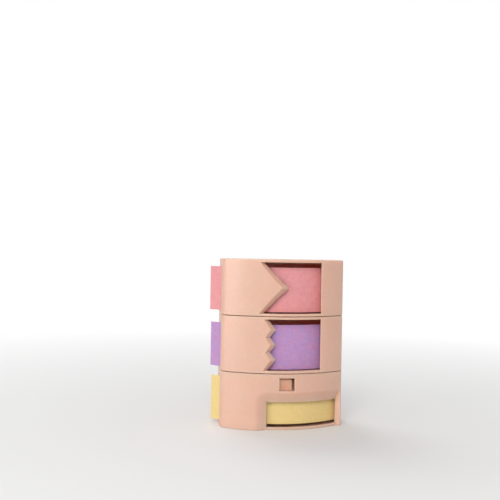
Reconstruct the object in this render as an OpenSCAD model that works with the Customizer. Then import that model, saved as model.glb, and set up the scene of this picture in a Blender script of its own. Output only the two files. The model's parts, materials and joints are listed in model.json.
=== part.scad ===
// Hand-held cutter for 15 mm masking tape, with three stations stacked one above the other:
// a pointed edge for ribbon ends, a toothed edge for zigzag ends and a slitter for narrow tape.
// Frame: X to the right, Y to the back, Z up. The origin lies on the base, at the body's middle.

/* [Body] */
// Width across the body
body_w = 42; // [40:0.5:46]
// Depth from the bow of the front to the flat back
body_d = 20; // [19:0.5:26]
// Height of one station
station_h = 19; // [18.5:0.25:23]
// Radius of the bowed front
front_r = 34; // [32:1:44]
// Radius of the two front corners
nose_r = 3; // [2.5:0.25:3.5]
// Radius of the two rear corners and of the hinge barrels
back_r = 2.5; // [2.2:0.1:3]
// Wall of the bowed covers
cover_wall = 1.8; // [1.5:0.1:2.2]
// Rim along the top and the bottom of a cover
rim_t = 0.85; // [0.7:0.05:1.2]
// Roof and floor of a cover, behind its rims
plate_t = 0.5; // [0.4:0.05:0.7]
// Gap between two covers, one above the other
cover_gap = 0.2; // [0.15:0.05:0.3]
// Wall of the rear shell
shell_wall = 1.6; // [1.2:0.1:2]
// Gap between two parts that meet at a seam
seam_gap = 0.3; // [0.2:0.05:0.5]

/* [Hinge] */
// Radius of the hinge pin
pin_r = 0.8; // [0.6:0.05:1]
// Radial clearance between the pin and the covers
pin_play = 0.05; // [0.02:0.01:0.1]
// Height of the hinge barrel on a cover
barrel_h = 11.4; // [6:0.2:12]

/* [Tape] */
// Width of the tape
tape_w = 15; // [12:0.5:15]
// Thickness of the tape
tape_t = 0.2; // [0.1:0.05:0.3]
// Width of the narrow strip that the slitter leaves
narrow_w = 7.5; // [5:0.25:8]
// Length of the lowest tape that stands out of its entry slot
tape_tail = 2.6; // [1:0.2:5]
// Length that each tape further up stands out more
tail_step = 0.4; // [0:0.1:0.8]
// Clearance in front of the tape
tape_front_gap = 0.95; // [0.9:0.05:1.2]
// Clearance behind and below the tape
tape_gap = 0.1; // [0.05:0.05:0.3]

/* [Cutting edges] */
// Place of the window's right edge, from the middle
jamb_x = 12; // [10:0.5:14]
// Draft of the window's right edge, from the face to the inside
jamb_draft = 0.6; // [0:0.1:0.8]
// Place of the ribbon point, from the middle
ribbon_tip_x = 1; // [-2:0.1:4]
// Reach of the ribbon point
ribbon_reach = 9.5; // [5:0.1:10]
// Place of the zigzag tips, from the middle
zigzag_tip_x = -3.3; // [-5:0.1:2]
// Depth of a zigzag tooth
tooth_depth = 2.3; // [1:0.1:3]
// Distance from tooth to tooth
tooth_pitch = 5.05; // [4:0.05:5.4]
// Number of zigzag teeth
tooth_count = 3; // [2:1:3]
// Run of the ribbon edge's bevel along X
ribbon_bevel = 2.6; // [1:0.1:3]
// Run of the zigzag edge's bevel along X
zigzag_bevel = 2.5; // [1:0.1:3]
// Thickness of the steel blades
blade_t = 0.3; // [0.2:0.05:0.4]
// Distance that the plastic edge covers the steel edge
blade_cover = 0.3; // [0.2:0.1:0.8]

/* [Slitter] */
// Place where the narrow strip comes out, from the middle
dip_x = -5.9; // [-6.5:0.1:-3]
// Run of the sloping sides of the finger dip
dip_slope = 3.6; // [2:0.2:4]
// Place of the finger dip's right side on the cover's inside, from the right side's inside
dip_inset = 0.1; // [0:0.05:0.4]
// Place of the slitting blade, from the middle
slit_x = -9; // [-9.4:0.1:-8.6]
// Width of the button window
button_window_w = 5.2; // [4.4:0.1:5.6]
// Height of the button window
button_window_h = 4.3; // [3.6:0.1:4.6]
// Middle of the button window, from the middle of the body
button_x = 0.6; // [0:0.1:3]
// Depth of the button's face below the cover
button_sink = 1.3; // [0.6:0.1:1.5]

/* [Tape beds] */
// Wall of a tape bed
bed_t = 1.6; // [1.2:0.1:2]
// Height of the ribs that the tape runs on
bed_rib_h = 0.3; // [0.2:0.05:0.5]
// Distance of the left bed screws from the middle
screw_left = 14; // [13.8:0.1:14.4]
// Distance of the right bed screws from the middle
screw_right = 10; // [4:0.5:11]
// Radius of a screw's thread
screw_r = 0.8; // [0.6:0.05:0.9]
// Radius of a screw's head
screw_head_r = 1.9; // [1.5:0.1:2]

/* [Hidden] */
$fn = 180;

PEACH = [0.95, 0.78, 0.68];
STEEL = [0.72, 0.73, 0.75];
SILICONE = [0.90, 0.88, 0.85];
PINK = [0.90, 0.55, 0.58];
LILAC = [0.72, 0.56, 0.80];
YELLOW = [0.90, 0.80, 0.52];

// Stations count from the base
SLITTER = 0;
ZIGZAG = 1;
RIBBON = 2;
station_count = 3;
body_h = station_count * station_h;

// Plan of the body: the front is a bow about an upright axis behind the body
half_w = body_w / 2;
front_y = -body_d / 2;
back_y = body_d / 2;
bow_y = front_y + front_r;
nose_x = half_w - nose_r;
nose_y = bow_y - sqrt(pow(front_r - nose_r, 2) - pow(nose_x, 2));
overcut = 1;
far = 4 * body_w;

// Layers of the tape path, as radii about the bow's axis
seat_gap = 0.05;
cover_in_r = front_r - cover_wall;
blade_out_r = cover_in_r - seat_gap;
blade_in_r = blade_out_r - blade_t;
tape_out_r = blade_in_r - tape_front_gap;
tape_in_r = tape_out_r - tape_t;
bed_r = tape_in_r - tape_gap;
bed_face_r = bed_r - bed_rib_h;
bed_back_r = bed_face_r - bed_t;
slot_r = tape_out_r + 2 * seam_gap;

// The parting plane lies just behind the tape where it leaves the left side
part_y = plan_y(bed_r, half_w) + tape_gap;
shell_y = part_y + seam_gap / 2;
cover_y = part_y - seam_gap / 2;

// Heights inside a station
sill_z = cover_gap / 2 + rim_t;
lintel_z = station_h - sill_z;
plate_z = cover_gap / 2 + plate_t;
ribbon_lift_share = 0.17;
strip_lift_share = 0.37;
narrow_z1 = tape_z(SLITTER) + narrow_w;
slit_z = narrow_z1 + blade_t;

// Hinge: covers and shell share one pin in the right rear corner
hinge_x = half_w - back_r;
hinge_y = back_y - back_r;
barrel_gap = seam_gap;
side_in_x = half_w - cover_wall;
shell_right_x = side_in_x - seam_gap;
shell_pin_play = 0.02;
pin_floor = 1;
pin_sink = 0.6;

// Ends of the tapes and beds, as angles round the bow
tape_overrun = 1.5;
strip_end_gap = 0.1;
bed_end_gap = 1;
tape_right = asin((jamb_x + tape_overrun) / tape_out_r);
narrow_right = asin((side_in_x - strip_end_gap) / tape_out_r);
bed_left = -asin((half_w - nose_r - seam_gap) / bed_r);
bed_right = asin((side_in_x - bed_end_gap) / bed_r);

// Bed screws and their bosses
screw_places = [-screw_left, screw_right];
boss_wall = 1.6;
bed_boss_r = screw_r + boss_wall;
head_t = 1.4;
head_sink = 0.6;
head_y = back_y - head_sink - head_t;
boss_floor = 2.4;
boss_y = head_y - boss_floor;
screw_tip_y = 0;
screw_play = 0.05;
head_play = 0.2;
shell_boss_r = screw_head_r + head_play + boss_wall;
cross_w = 0.5;
cross_share = 0.62;

// Blade rivets and grip pads, left of the cutting edges
rivet_r = 0.6;
rivet_head_r = 1.1;
rivet_head_t = 0.3;
rivet_depth = 1;
rivet_inset = 3.6;
rivet_z = [sill_z + rivet_inset, lintel_z - rivet_inset];
rivet_x = -11;
rivet_edge = 2;
blade_left_x = rivet_x - rivet_edge;
blade_margin_z = 0.6;
pad_w = 3;
pad_gap = 0.5;
pad_right_x = blade_left_x - pad_gap;
pad_t = tape_front_gap + blade_t - tape_gap;
pad_margin_z = 2;

// Tongues that close the covers on the shell
tongue_w = 3.2;
tongue_reach = 2;
tongue_root = 2;

// Slitting blade in its clamp, measured from the bed's face
slit_angle = asin(slit_x / bed_r);
slit_blade_w = 4.4;
slit_blade_lead = 2.6;
slit_blade_depth = 6;
slit_blade_drop = 1.2;
slit_blade_rise = 0.9;
slot_play = 0.2;
clamp_side = 0.6;
clamp_h = 4.4;
clamp_depth = 4;
rail_t = 1;
clamp_screw_r = 0.7;
clamp_head_r = 1.2;
clamp_head_t = 0.7;
clamp_screw_inset = 2;
clamp_screw_y = bed_r - bed_back_r + clamp_screw_inset;

// Small step where the finger dip meets the sill
dip_step = 0.2;

// Hold button in the slitter cover's window
button_rim_gap = 0.5;
button_z0 = lintel_z - button_rim_gap - button_window_h;
button_x0 = button_x - button_window_w / 2;
button_snug = 0.05;
button_right_gap = 0.9;
button_top_gap = 0.5;
button_lip = 0.7;
button_flange_t = 0.5;
button_flange_r = cover_in_r - seat_gap - button_flange_t;
button_face_y = front_y + button_sink;

// Leaf spring behind the button, on a foot inside the cover
spring_t = 0.2;
spring_r = button_flange_r - 2 * seat_gap;
spring_inset_z = 0.8;
spring_w = 2;
spring_z0 = button_z0 + spring_inset_z;
spring_z1 = spring_z0 + spring_w;
spring_left_x = -10.2;
spring_foot_w = 3;
spring_margin = 0.3;
spring_rivet_r = 0.5;
spring_rivet_head_r = 0.9;

// Y of a circle about the bow's axis, at a given X
function plan_y(r, x) = bow_y - sqrt(r * r - x * x);

// Base height of a station
function base_z(station) = station * station_h;

// Lowest and highest points of a cover in its station: the outer ones are flush with the shell
function cover_z0(station) = station == SLITTER ? 0 : cover_gap / 2;
function cover_z1(station) = station == RIBBON ? station_h : station_h - cover_gap / 2;

// Height of a station's tape above the sill: the ribbon and slit tapes take a share of the room to spare
function tape_lift(station) =
  station == ZIGZAG ? tape_gap
  : (lintel_z - sill_z - tape_w) * (station == RIBBON ? ribbon_lift_share : strip_lift_share);

// Lower edge of a station's tape, and the heights of its bed
function tape_z(station) = sill_z + tape_lift(station);
function bed_z0(station) = tape_z(station) + tape_gap;
function bed_z1(station) = tape_z(station) + tape_w - seam_gap;

// Angle round the bow of a place at a given X and radius
function bow_angle(x, r) = asin(x / r);

// Angle round the bow of a tape's left end
function tape_left(station) = -bow_angle(half_w + tape_tail + station * tail_step, tape_out_r);

// Cutting edge of a station from the sill to the lintel, as points in X and Z
function ribbon_edge() = [
  [ribbon_tip_x - ribbon_reach, sill_z],
  [ribbon_tip_x, (sill_z + lintel_z) / 2],
  [ribbon_tip_x - ribbon_reach, lintel_z]
];
// The outer flanks of the teeth run on to the sill and the lintel
function zigzag_edge() =
  let (
    step = tooth_pitch / 2,
    first = (sill_z + lintel_z) / 2 - (tooth_count - 1) * step,
    end_x = zigzag_tip_x - tooth_depth * (first - sill_z) / step
  )
  concat(
    [[end_x, sill_z]],
    [for (i = [0 : 2 * (tooth_count - 1)])
      [zigzag_tip_x - (i % 2 == 1 ? tooth_depth : 0), first + i * step]],
    [[end_x, lintel_z]]
  );

// Places children on the bow: their own -Y points outwards
module on_bow(angle, r, z) {
  translate([0, bow_y, z]) rotate([0, 0, angle]) translate([0, -r, 0]) children();
}

// Places children on the bow with their own +Z pointing outwards from the bow's axis
module out_of_bow(angle, z) {
  translate([0, bow_y, z]) rotate([0, 0, angle]) rotate([90, 0, 0]) children();
}

// Solid between two radii, two heights and two angles about the bow's axis
module bow_band(r0, r1, z0, z1, angle0, angle1) {
  translate([0, bow_y, 0]) rotate([0, 0, angle0 - 90])
    rotate_extrude(angle = angle1 - angle0)
      translate([r0, z0]) square([r1 - r0, z1 - z0]);
}

// Plate standing in the XZ plane, with its front at y
module upright_plate(points, y, t) {
  translate([0, y + t, 0]) rotate([90, 0, 0]) linear_extrude(t) polygon(points);
}

// Plan of the body, drawn in by inset all round
module body_plan(inset) {
  back_cy = back_y - back_r;
  back_cx = half_w - back_r;
  intersection() {
    translate([0, bow_y]) circle(front_r - inset);
    polygon([
      [0, bow_y],
      [-2 * nose_x, bow_y - 2 * (bow_y - nose_y)],
      [2 * nose_x, bow_y - 2 * (bow_y - nose_y)]
    ]);
    translate([-far / 2, nose_y - far]) square([far, far]);
  }
  for (side = [-1, 1]) {
    translate([side * nose_x, nose_y]) circle(nose_r - inset);
    translate([side * back_cx, back_cy]) circle(back_r - inset);
  }
  translate([-half_w + inset, nose_y]) square([body_w - 2 * inset, back_cy - nose_y]);
  translate([-back_cx, nose_y]) square([2 * back_cx, back_y - inset - nose_y]);
}

// Part of the plan in front of the parting plane
module front_plan() {
  intersection() {
    body_plan(0);
    translate([-far / 2, cover_y - far]) square([far, far]);
  }
}

// Plan of a cover: the front and the right side back to the hinge
module cover_plan() {
  front_plan();
  translate([side_in_x, nose_y]) square([cover_wall, hinge_y - nose_y]);
}

// Plan of the rear shell, drawn in by inset on the left, the back and the right
module shell_plan(inset) {
  intersection() {
    body_plan(inset);
    translate([-far / 2, shell_y]) square([far / 2 + shell_right_x - inset, far]);
  }
}

// Upright cylinder about the hinge's axis
module hinge_rod(r, z0, z1) {
  translate([hinge_x, hinge_y, z0]) cylinder(r = r, h = z1 - z0);
}

// Bowed cover of one station with its rims, its right side, its hinge barrel and its closing tongue
module cover_blank(station) {
  z = base_z(station);
  z_low = z + (station_h - barrel_h) / 2;
  z_high = z_low + barrel_h;
  difference() {
    union() {
      difference() {
        translate([0, 0, z + cover_z0(station)])
          linear_extrude(cover_z1(station) - cover_z0(station)) cover_plan();
        cover_room(station);
        // Room for the shell's barrels above and below
        hinge_rod(back_r + barrel_gap, z - overcut, z_low);
        hinge_rod(back_r + barrel_gap, z_high, z + station_h + overcut);
      }
      hinge_rod(back_r, z_low, z_high);
      closing_tongue(station);
    }
    hinge_rod(pin_r + pin_play, z_low - overcut, z_high + overcut);
  }
}

// Room behind the bow, with a slot in the left side for the tape
module cover_room(station) {
  translate([0, 0, base_z(station) + plate_z]) linear_extrude(station_h - 2 * plate_z) {
    intersection() {
      translate([0, bow_y]) circle(cover_in_r);
      translate([-side_in_x, -far / 2]) square([2 * side_in_x, far]);
    }
    intersection() {
      translate([0, bow_y]) circle(slot_r);
      translate([-far, -far / 2]) square([far, far]);
    }
  }
}

// Tongue under the roof that slips into the shell
module closing_tongue(station) {
  root_y = plan_y(bed_back_r, rivet_x) + tongue_root;
  z0 = base_z(station) + tape_z(station) + tape_w + tape_gap;
  z1 = base_z(station) + (station == RIBBON ? station_h - shell_wall - seam_gap : lintel_z);
  roof_z = base_z(station) + station_h - plate_z + plate_t / 2;
  translate([rivet_x, root_y, z0]) cube([tongue_w, part_y + tongue_reach - root_y, z1 - z0]);
  translate([rivet_x, root_y, z0]) cube([tongue_w, cover_y - root_y, roof_z - z0]);
}

// Window right of a cutting edge: a bevel from the face to the inside sharpens the edge
module bevelled_window(edge, bevel_run) {
  y_face = front_y - overcut;
  y_deep = plan_y(bed_back_r, jamb_x);
  y_edge = front_y + cover_wall;
  y_jamb = plan_y(front_r, jamb_x);
  slope = bevel_run / cover_wall;
  draft = jamb_draft / cover_wall;
  skin = 0.01;
  for (i = [0 : len(edge) - 2]) {
    a = edge[i];
    b = edge[i + 1];
    hull()
      for (y = [y_face, y_deep]) {
        shift = (y - y_edge) * slope;
        right = jamb_x + (y - y_jamb) * draft;
        upright_plate([
          [a[0] + shift, a[1]], [right, a[1]], [right, b[1]], [b[0] + shift, b[1]]
        ], y, skin);
      }
  }
}

// Steel blade under a cutting edge, bent to the bow
module edge_blade(station, edge) {
  z = base_z(station);
  steel_edge = [for (p = edge) [p[0] - blade_cover, p[1]]];
  outline = concat([[blade_left_x, sill_z]], steel_edge, [[blade_left_x, lintel_z]]);
  wide = 60;
  difference() {
    intersection() {
      bow_band(blade_in_r, blade_out_r, z + sill_z + blade_margin_z, z + lintel_z - blade_margin_z,
               -wide, wide);
      translate([0, 0, z]) upright_plate(outline, front_y, body_d / 2);
    }
    for (height = rivet_z)
      out_of_bow(bow_angle(rivet_x, blade_in_r), z + height) cylinder(r = rivet_r + seat_gap, h = front_r);
  }
}

// Holes in a cover for its blade's rivets
module rivet_holes(station) {
  for (height = rivet_z)
    out_of_bow(bow_angle(rivet_x, blade_in_r), base_z(station) + height)
      cylinder(r = rivet_r + seat_gap, h = cover_in_r + rivet_depth);
}

// Rivets that hold a blade to its cover
module blade_rivets(station) {
  for (height = rivet_z)
    out_of_bow(bow_angle(rivet_x, blade_in_r), base_z(station) + height) {
      translate([0, 0, blade_in_r - seat_gap - rivet_head_t / 2])
        cylinder(r = rivet_r, h = blade_t + rivet_depth + rivet_head_t / 2);
      translate([0, 0, blade_in_r - seat_gap - rivet_head_t]) cylinder(r = rivet_head_r, h = rivet_head_t);
    }
}

// Soft pad inside a cover that holds the tape to its bed
module grip_pad(station) {
  z = base_z(station);
  bow_band(blade_out_r - pad_t, blade_out_r, z + sill_z + pad_margin_z, z + lintel_z - pad_margin_z,
           bow_angle(pad_right_x - pad_w, cover_in_r), bow_angle(pad_right_x, cover_in_r));
}

// Bowed bed with ribs that the tape runs on, and two screw bosses behind it
module tape_bed(station) {
  z = base_z(station);
  z_mid = z + station_h / 2;
  rib_count = 5;
  rib_t = 1;
  z0 = z + bed_z0(station);
  z1 = z + bed_z1(station);
  rib_pitch = (z1 - z0 - rib_t) / (rib_count - 1);
  difference() {
    union() {
      bow_band(bed_back_r, bed_face_r, z0, z1, bed_left, bed_right);
      for (i = [0 : rib_count - 1])
        bow_band(bed_face_r - bed_rib_h, bed_r, z0 + i * rib_pitch, z0 + i * rib_pitch + rib_t,
                 bed_left, bed_right);
      for (x = screw_places)
        intersection() {
          translate([x, boss_y, z_mid]) rotate([90, 0, 0]) cylinder(r = bed_boss_r, h = body_d);
          translate([0, bow_y, z]) cylinder(r = bed_face_r - bed_t / 2, h = station_h);
        }
    }
    for (x = screw_places)
      translate([x, boss_y + overcut, z_mid]) rotate([90, 0, 0])
        cylinder(r = screw_r + screw_play, h = boss_y + overcut - screw_tip_y);
  }
}

// Tape on a bed, from the tail at the left to an angle at the right
module tape_band(station, right) {
  z = base_z(station) + tape_z(station);
  bow_band(tape_in_r, tape_out_r, z, z + tape_w, tape_left(station), right);
}

// Flat slice along the slit: X runs along the bow, Y from the bed's face to the bow's axis
module slit_slice(t) {
  on_bow(slit_angle, bed_r, base_z(SLITTER) + slit_z - t / 2) linear_extrude(t) children();
}

// Outline of the slitting blade, let out by play all round
module slitting_outline(play) {
  half = slit_blade_w / 2 + play;
  polygon([
    [-half, slit_blade_drop - play],
    [slit_blade_lead - half, -slit_blade_rise - play],
    [half, -slit_blade_rise - play],
    [half, slit_blade_depth],
    [-half, slit_blade_depth]
  ]);
}

// Place of the slitting blade's screw
module at_clamp_screw(z) {
  on_bow(slit_angle, bed_r, base_z(SLITTER) + slit_z + z) translate([0, clamp_screw_y, 0]) children();
}

module rear_shell() color(PEACH) {
  difference() {
    union() {
      difference() {
        linear_extrude(body_h) shell_plan(0);
        translate([0, 0, shell_wall]) linear_extrude(body_h - 2 * shell_wall) {
          shell_plan(shell_wall);
          translate([0, -overcut]) shell_plan(shell_wall);
        }
      }
      // Shelves between the stations
      for (i = [1 : station_count - 1])
        translate([0, 0, i * station_h - rim_t / 2]) linear_extrude(rim_t) shell_plan(shell_wall / 2);
      for (station = [0 : station_count - 1], x = screw_places)
        translate([x, boss_y, base_z(station) + station_h / 2]) rotate([-90, 0, 0])
          cylinder(r = shell_boss_r, h = back_y - shell_wall / 2 - boss_y);
      hinge_rod(back_r, 0, body_h);
    }
    // Room for the covers' barrels, and the bore of the pin
    for (station = [0 : station_count - 1])
      hinge_rod(back_r + barrel_gap, base_z(station) + (station_h - barrel_h) / 2 - barrel_gap,
                base_z(station) + (station_h + barrel_h) / 2 + barrel_gap);
    hinge_rod(pin_r + shell_pin_play, pin_floor, body_h + overcut);
    for (station = [0 : station_count - 1], x = screw_places)
      translate([x, back_y + overcut, base_z(station) + station_h / 2]) rotate([90, 0, 0]) {
        cylinder(r = screw_r + head_play, h = body_d / 2);
        cylinder(r = screw_head_r + head_play, h = back_y + overcut - head_y);
      }
  }
}

module hinge_pin() color(STEEL)
  hinge_rod(pin_r, pin_floor + seat_gap, body_h - pin_sink);

module bed_screws() color(STEEL)
  for (station = [0 : station_count - 1], x = screw_places)
    translate([x, 0, base_z(station) + station_h / 2]) rotate([-90, 0, 0])
      difference() {
        union() {
          translate([0, 0, screw_tip_y + screw_r]) cylinder(r = screw_r, h = head_y - screw_tip_y);
          translate([0, 0, head_y]) cylinder(r = screw_head_r, h = head_t);
        }
        for (turn = [0, 90])
          rotate([0, 0, turn]) translate([0, 0, head_y + head_t])
            cube([2 * screw_head_r * cross_share, cross_w, head_t], center = true);
      }

module ribbon_bed() color(PEACH) tape_bed(RIBBON);
module zigzag_bed() color(PEACH) tape_bed(ZIGZAG);

module slitter_bed() color(PEACH) {
  z = base_z(SLITTER);
  difference() {
    union() {
      tape_bed(SLITTER);
      // Rails above and below the blade clamp
      for (side = [-1, 1])
        intersection() {
          on_bow(slit_angle, bed_back_r - clamp_depth / 2,
                 z + slit_z + side * (clamp_h / 2 + seat_gap + rail_t / 2))
            cube([slit_blade_w + 2 * clamp_side, clamp_depth + 2 * overcut, rail_t], center = true);
          translate([0, bow_y, z]) cylinder(r = bed_face_r - bed_t / 2, h = station_h);
        }
    }
    slit_slice(blade_t + slot_play) slitting_outline(slot_play);
  }
}

module ribbon_cover() color(PEACH)
  difference() {
    cover_blank(RIBBON);
    translate([0, 0, base_z(RIBBON)]) bevelled_window(ribbon_edge(), ribbon_bevel);
    rivet_holes(RIBBON);
  }

module zigzag_cover() color(PEACH)
  difference() {
    cover_blank(ZIGZAG);
    translate([0, 0, base_z(ZIGZAG)]) bevelled_window(zigzag_edge(), zigzag_bevel);
    rivet_holes(ZIGZAG);
  }

module slitter_cover() color(PEACH) {
  z = base_z(SLITTER);
  difference() {
    union() {
      cover_blank(SLITTER);
      // Foot of the button's spring
      bow_band(spring_r + seat_gap, cover_in_r + cover_wall / 2, z + spring_z0 - spring_margin,
               z + spring_z1 + spring_margin, bow_angle(spring_left_x - spring_margin, cover_in_r),
               bow_angle(spring_left_x + spring_foot_w, cover_in_r));
    }
    finger_dip();
    translate([button_x0, front_y - overcut, z + button_z0])
      cube([button_window_w, body_d / 2, button_window_h]);
    at_spring_rivet() cylinder(r = spring_rivet_r + seat_gap, h = cover_in_r + rivet_depth);
  }
}

// Dip in the lower half of the slitter cover: its top and its left side slope up to the face,
// and its right side stands square to the bow
module finger_dip() {
  z = base_z(SLITTER);
  top = narrow_z1 + tape_gap;
  floor_z = sill_z - dip_step;
  left = bow_angle(dip_x, cover_in_r);
  right = bow_angle(side_in_x - dip_inset, cover_in_r);
  reach = 60;
  rise = dip_slope / cover_wall;
  high = cover_wall + overcut;
  intersection() {
    translate([0, bow_y, z]) rotate([0, 0, -reach - 90]) rotate_extrude(angle = reach + right)
      polygon([
        [cover_in_r - dip_step, floor_z], [cover_in_r + dip_step, floor_z], [cover_in_r + dip_step, -overcut],
        [cover_in_r + high, -overcut], [cover_in_r + high, top + rise * high],
        [cover_in_r - dip_step, top - rise * dip_step]
      ]);
    on_bow(left, cover_in_r, z - overcut) linear_extrude(station_h)
      polygon([
        [rise * dip_step, dip_step], [-rise * high, -high], [far, -high], [far, far], [rise * dip_step, far]
      ]);
  }
}

module ribbon_blade() color(STEEL) edge_blade(RIBBON, ribbon_edge());
module zigzag_blade() color(STEEL) edge_blade(ZIGZAG, zigzag_edge());
module ribbon_blade_rivets() color(STEEL) blade_rivets(RIBBON);
module zigzag_blade_rivets() color(STEEL) blade_rivets(ZIGZAG);
module ribbon_grip_pad() color(SILICONE) grip_pad(RIBBON);
module zigzag_grip_pad() color(SILICONE) grip_pad(ZIGZAG);
module slitter_grip_pad() color(SILICONE) grip_pad(SLITTER);

module slitting_blade() color(STEEL)
  difference() {
    slit_slice(blade_t) slitting_outline(0);
    at_clamp_screw(-blade_t) cylinder(r = clamp_screw_r + seat_gap, h = 2 * blade_t);
  }

module blade_clamp() color(PEACH)
  difference() {
    intersection() {
      on_bow(slit_angle, bed_back_r - clamp_depth / 2, base_z(SLITTER) + slit_z)
        cube([slit_blade_w + 2 * clamp_side, clamp_depth + 2 * overcut, clamp_h], center = true);
      translate([0, bow_y, base_z(SLITTER)]) cylinder(r = bed_back_r - seat_gap, h = station_h);
    }
    slit_slice(blade_t + 2 * seat_gap) slitting_outline(seat_gap);
    at_clamp_screw(-clamp_h) cylinder(r = clamp_screw_r + seat_gap, h = 2 * clamp_h);
    at_clamp_screw(clamp_h / 2 - clamp_head_t) cylinder(r = clamp_head_r + seat_gap, h = clamp_h);
  }

module clamp_screw() color(STEEL) {
  at_clamp_screw(-clamp_h / 2) cylinder(r = clamp_screw_r, h = clamp_h - clamp_head_t / 2);
  at_clamp_screw(clamp_h / 2 - clamp_head_t + seat_gap)
    cylinder(r = clamp_head_r, h = clamp_head_t - seat_gap);
}

module hold_button() color(PEACH) {
  z = base_z(SLITTER);
  face_w = button_window_w - button_snug - button_right_gap;
  face_h = button_window_h - button_snug - button_top_gap;
  // Face in the cover's window
  intersection() {
    translate([button_x0 + button_snug, button_face_y, z + button_z0 + button_snug])
      cube([face_w, body_d / 2, face_h]);
    translate([0, bow_y, z]) difference() {
      cylinder(r = front_r, h = station_h);
      translate([0, 0, -overcut]) cylinder(r = button_flange_r, h = station_h + 2 * overcut);
    }
  }
  // Flange behind the cover, open above and right of the face
  difference() {
    bow_band(button_flange_r, button_flange_r + button_flange_t, z + button_z0 - button_lip,
             z + lintel_z - 2 * button_snug, bow_angle(button_x0 - button_lip, cover_in_r),
             bow_angle(button_x0 + button_window_w + button_lip, cover_in_r));
    translate([button_x0 + button_window_w - button_right_gap, front_y, z + button_z0])
      cube([button_right_gap, body_d / 2, button_window_h]);
    translate([button_x0, front_y, z + button_z0 + button_window_h - button_top_gap])
      cube([button_window_w, body_d / 2, button_top_gap]);
  }
}

// Place of the rivet that holds the button's spring, with +Z outwards from the bow's axis
module at_spring_rivet() {
  out_of_bow(bow_angle(spring_left_x + spring_foot_w / 2, spring_r),
             base_z(SLITTER) + (spring_z0 + spring_z1) / 2)
    children();
}

module button_spring() color(STEEL) {
  z = base_z(SLITTER);
  difference() {
    bow_band(spring_r - spring_t, spring_r, z + spring_z0, z + spring_z1,
             bow_angle(spring_left_x, cover_in_r), bow_angle(button_x0 + button_window_w / 2, cover_in_r));
    at_spring_rivet() cylinder(r = spring_rivet_r + seat_gap, h = front_r);
  }
}

module spring_rivet() color(STEEL)
  at_spring_rivet() {
    translate([0, 0, spring_r - spring_t - seat_gap - spring_t])
      cylinder(r = spring_rivet_head_r, h = spring_t);
    translate([0, 0, spring_r - spring_t - seat_gap - spring_t / 2])
      cylinder(r = spring_rivet_r, h = cover_in_r + rivet_depth / 2 - spring_r + spring_t);
  }

module ribbon_tape() color(PINK) tape_band(RIBBON, tape_right);
module zigzag_tape() color(LILAC) tape_band(ZIGZAG, tape_right);

// Full-width tape as far as the blade, then the lower strip only
module slit_tape() color(YELLOW) {
  z = base_z(SLITTER);
  upper_end = bow_angle(slit_x + slit_blade_w / 2 - slot_play, tape_out_r);
  reach = 60;
  difference() {
    tape_band(SLITTER, narrow_right);
    bow_band(tape_in_r - overcut, tape_out_r + overcut, z + narrow_z1, z + station_h, upper_end, reach);
    // Slit that the blade has opened
    slit_slice(blade_t + slot_play) slitting_outline(slot_play);
  }
}

rear_shell();
hinge_pin();
bed_screws();
ribbon_bed();
zigzag_bed();
slitter_bed();
ribbon_cover();
ribbon_blade();
ribbon_blade_rivets();
ribbon_grip_pad();
zigzag_cover();
zigzag_blade();
zigzag_blade_rivets();
zigzag_grip_pad();
slitter_cover();
slitter_grip_pad();
slitting_blade();
blade_clamp();
clamp_screw();
hold_button();
button_spring();
spring_rivet();
ribbon_tape();
zigzag_tape();
slit_tape();
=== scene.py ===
"""Looks of a hand-held cutter for 15 mm masking tape: three hinged covers on one rear shell.

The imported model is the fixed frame. Each class dresses one sub-assembly: it works out its surfaces as
numpy grids in millimetres, puts them into meshes in metres and lets them ride on the frame's bodies.
Frame: X to the right, Y to the back, Z up, with the origin on the base at the body's middle.
"""

import json
import logging
import math
from abc import ABC, abstractmethod
from collections.abc import Callable
from dataclasses import dataclass
from enum import Enum
from functools import cache, cached_property

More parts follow.
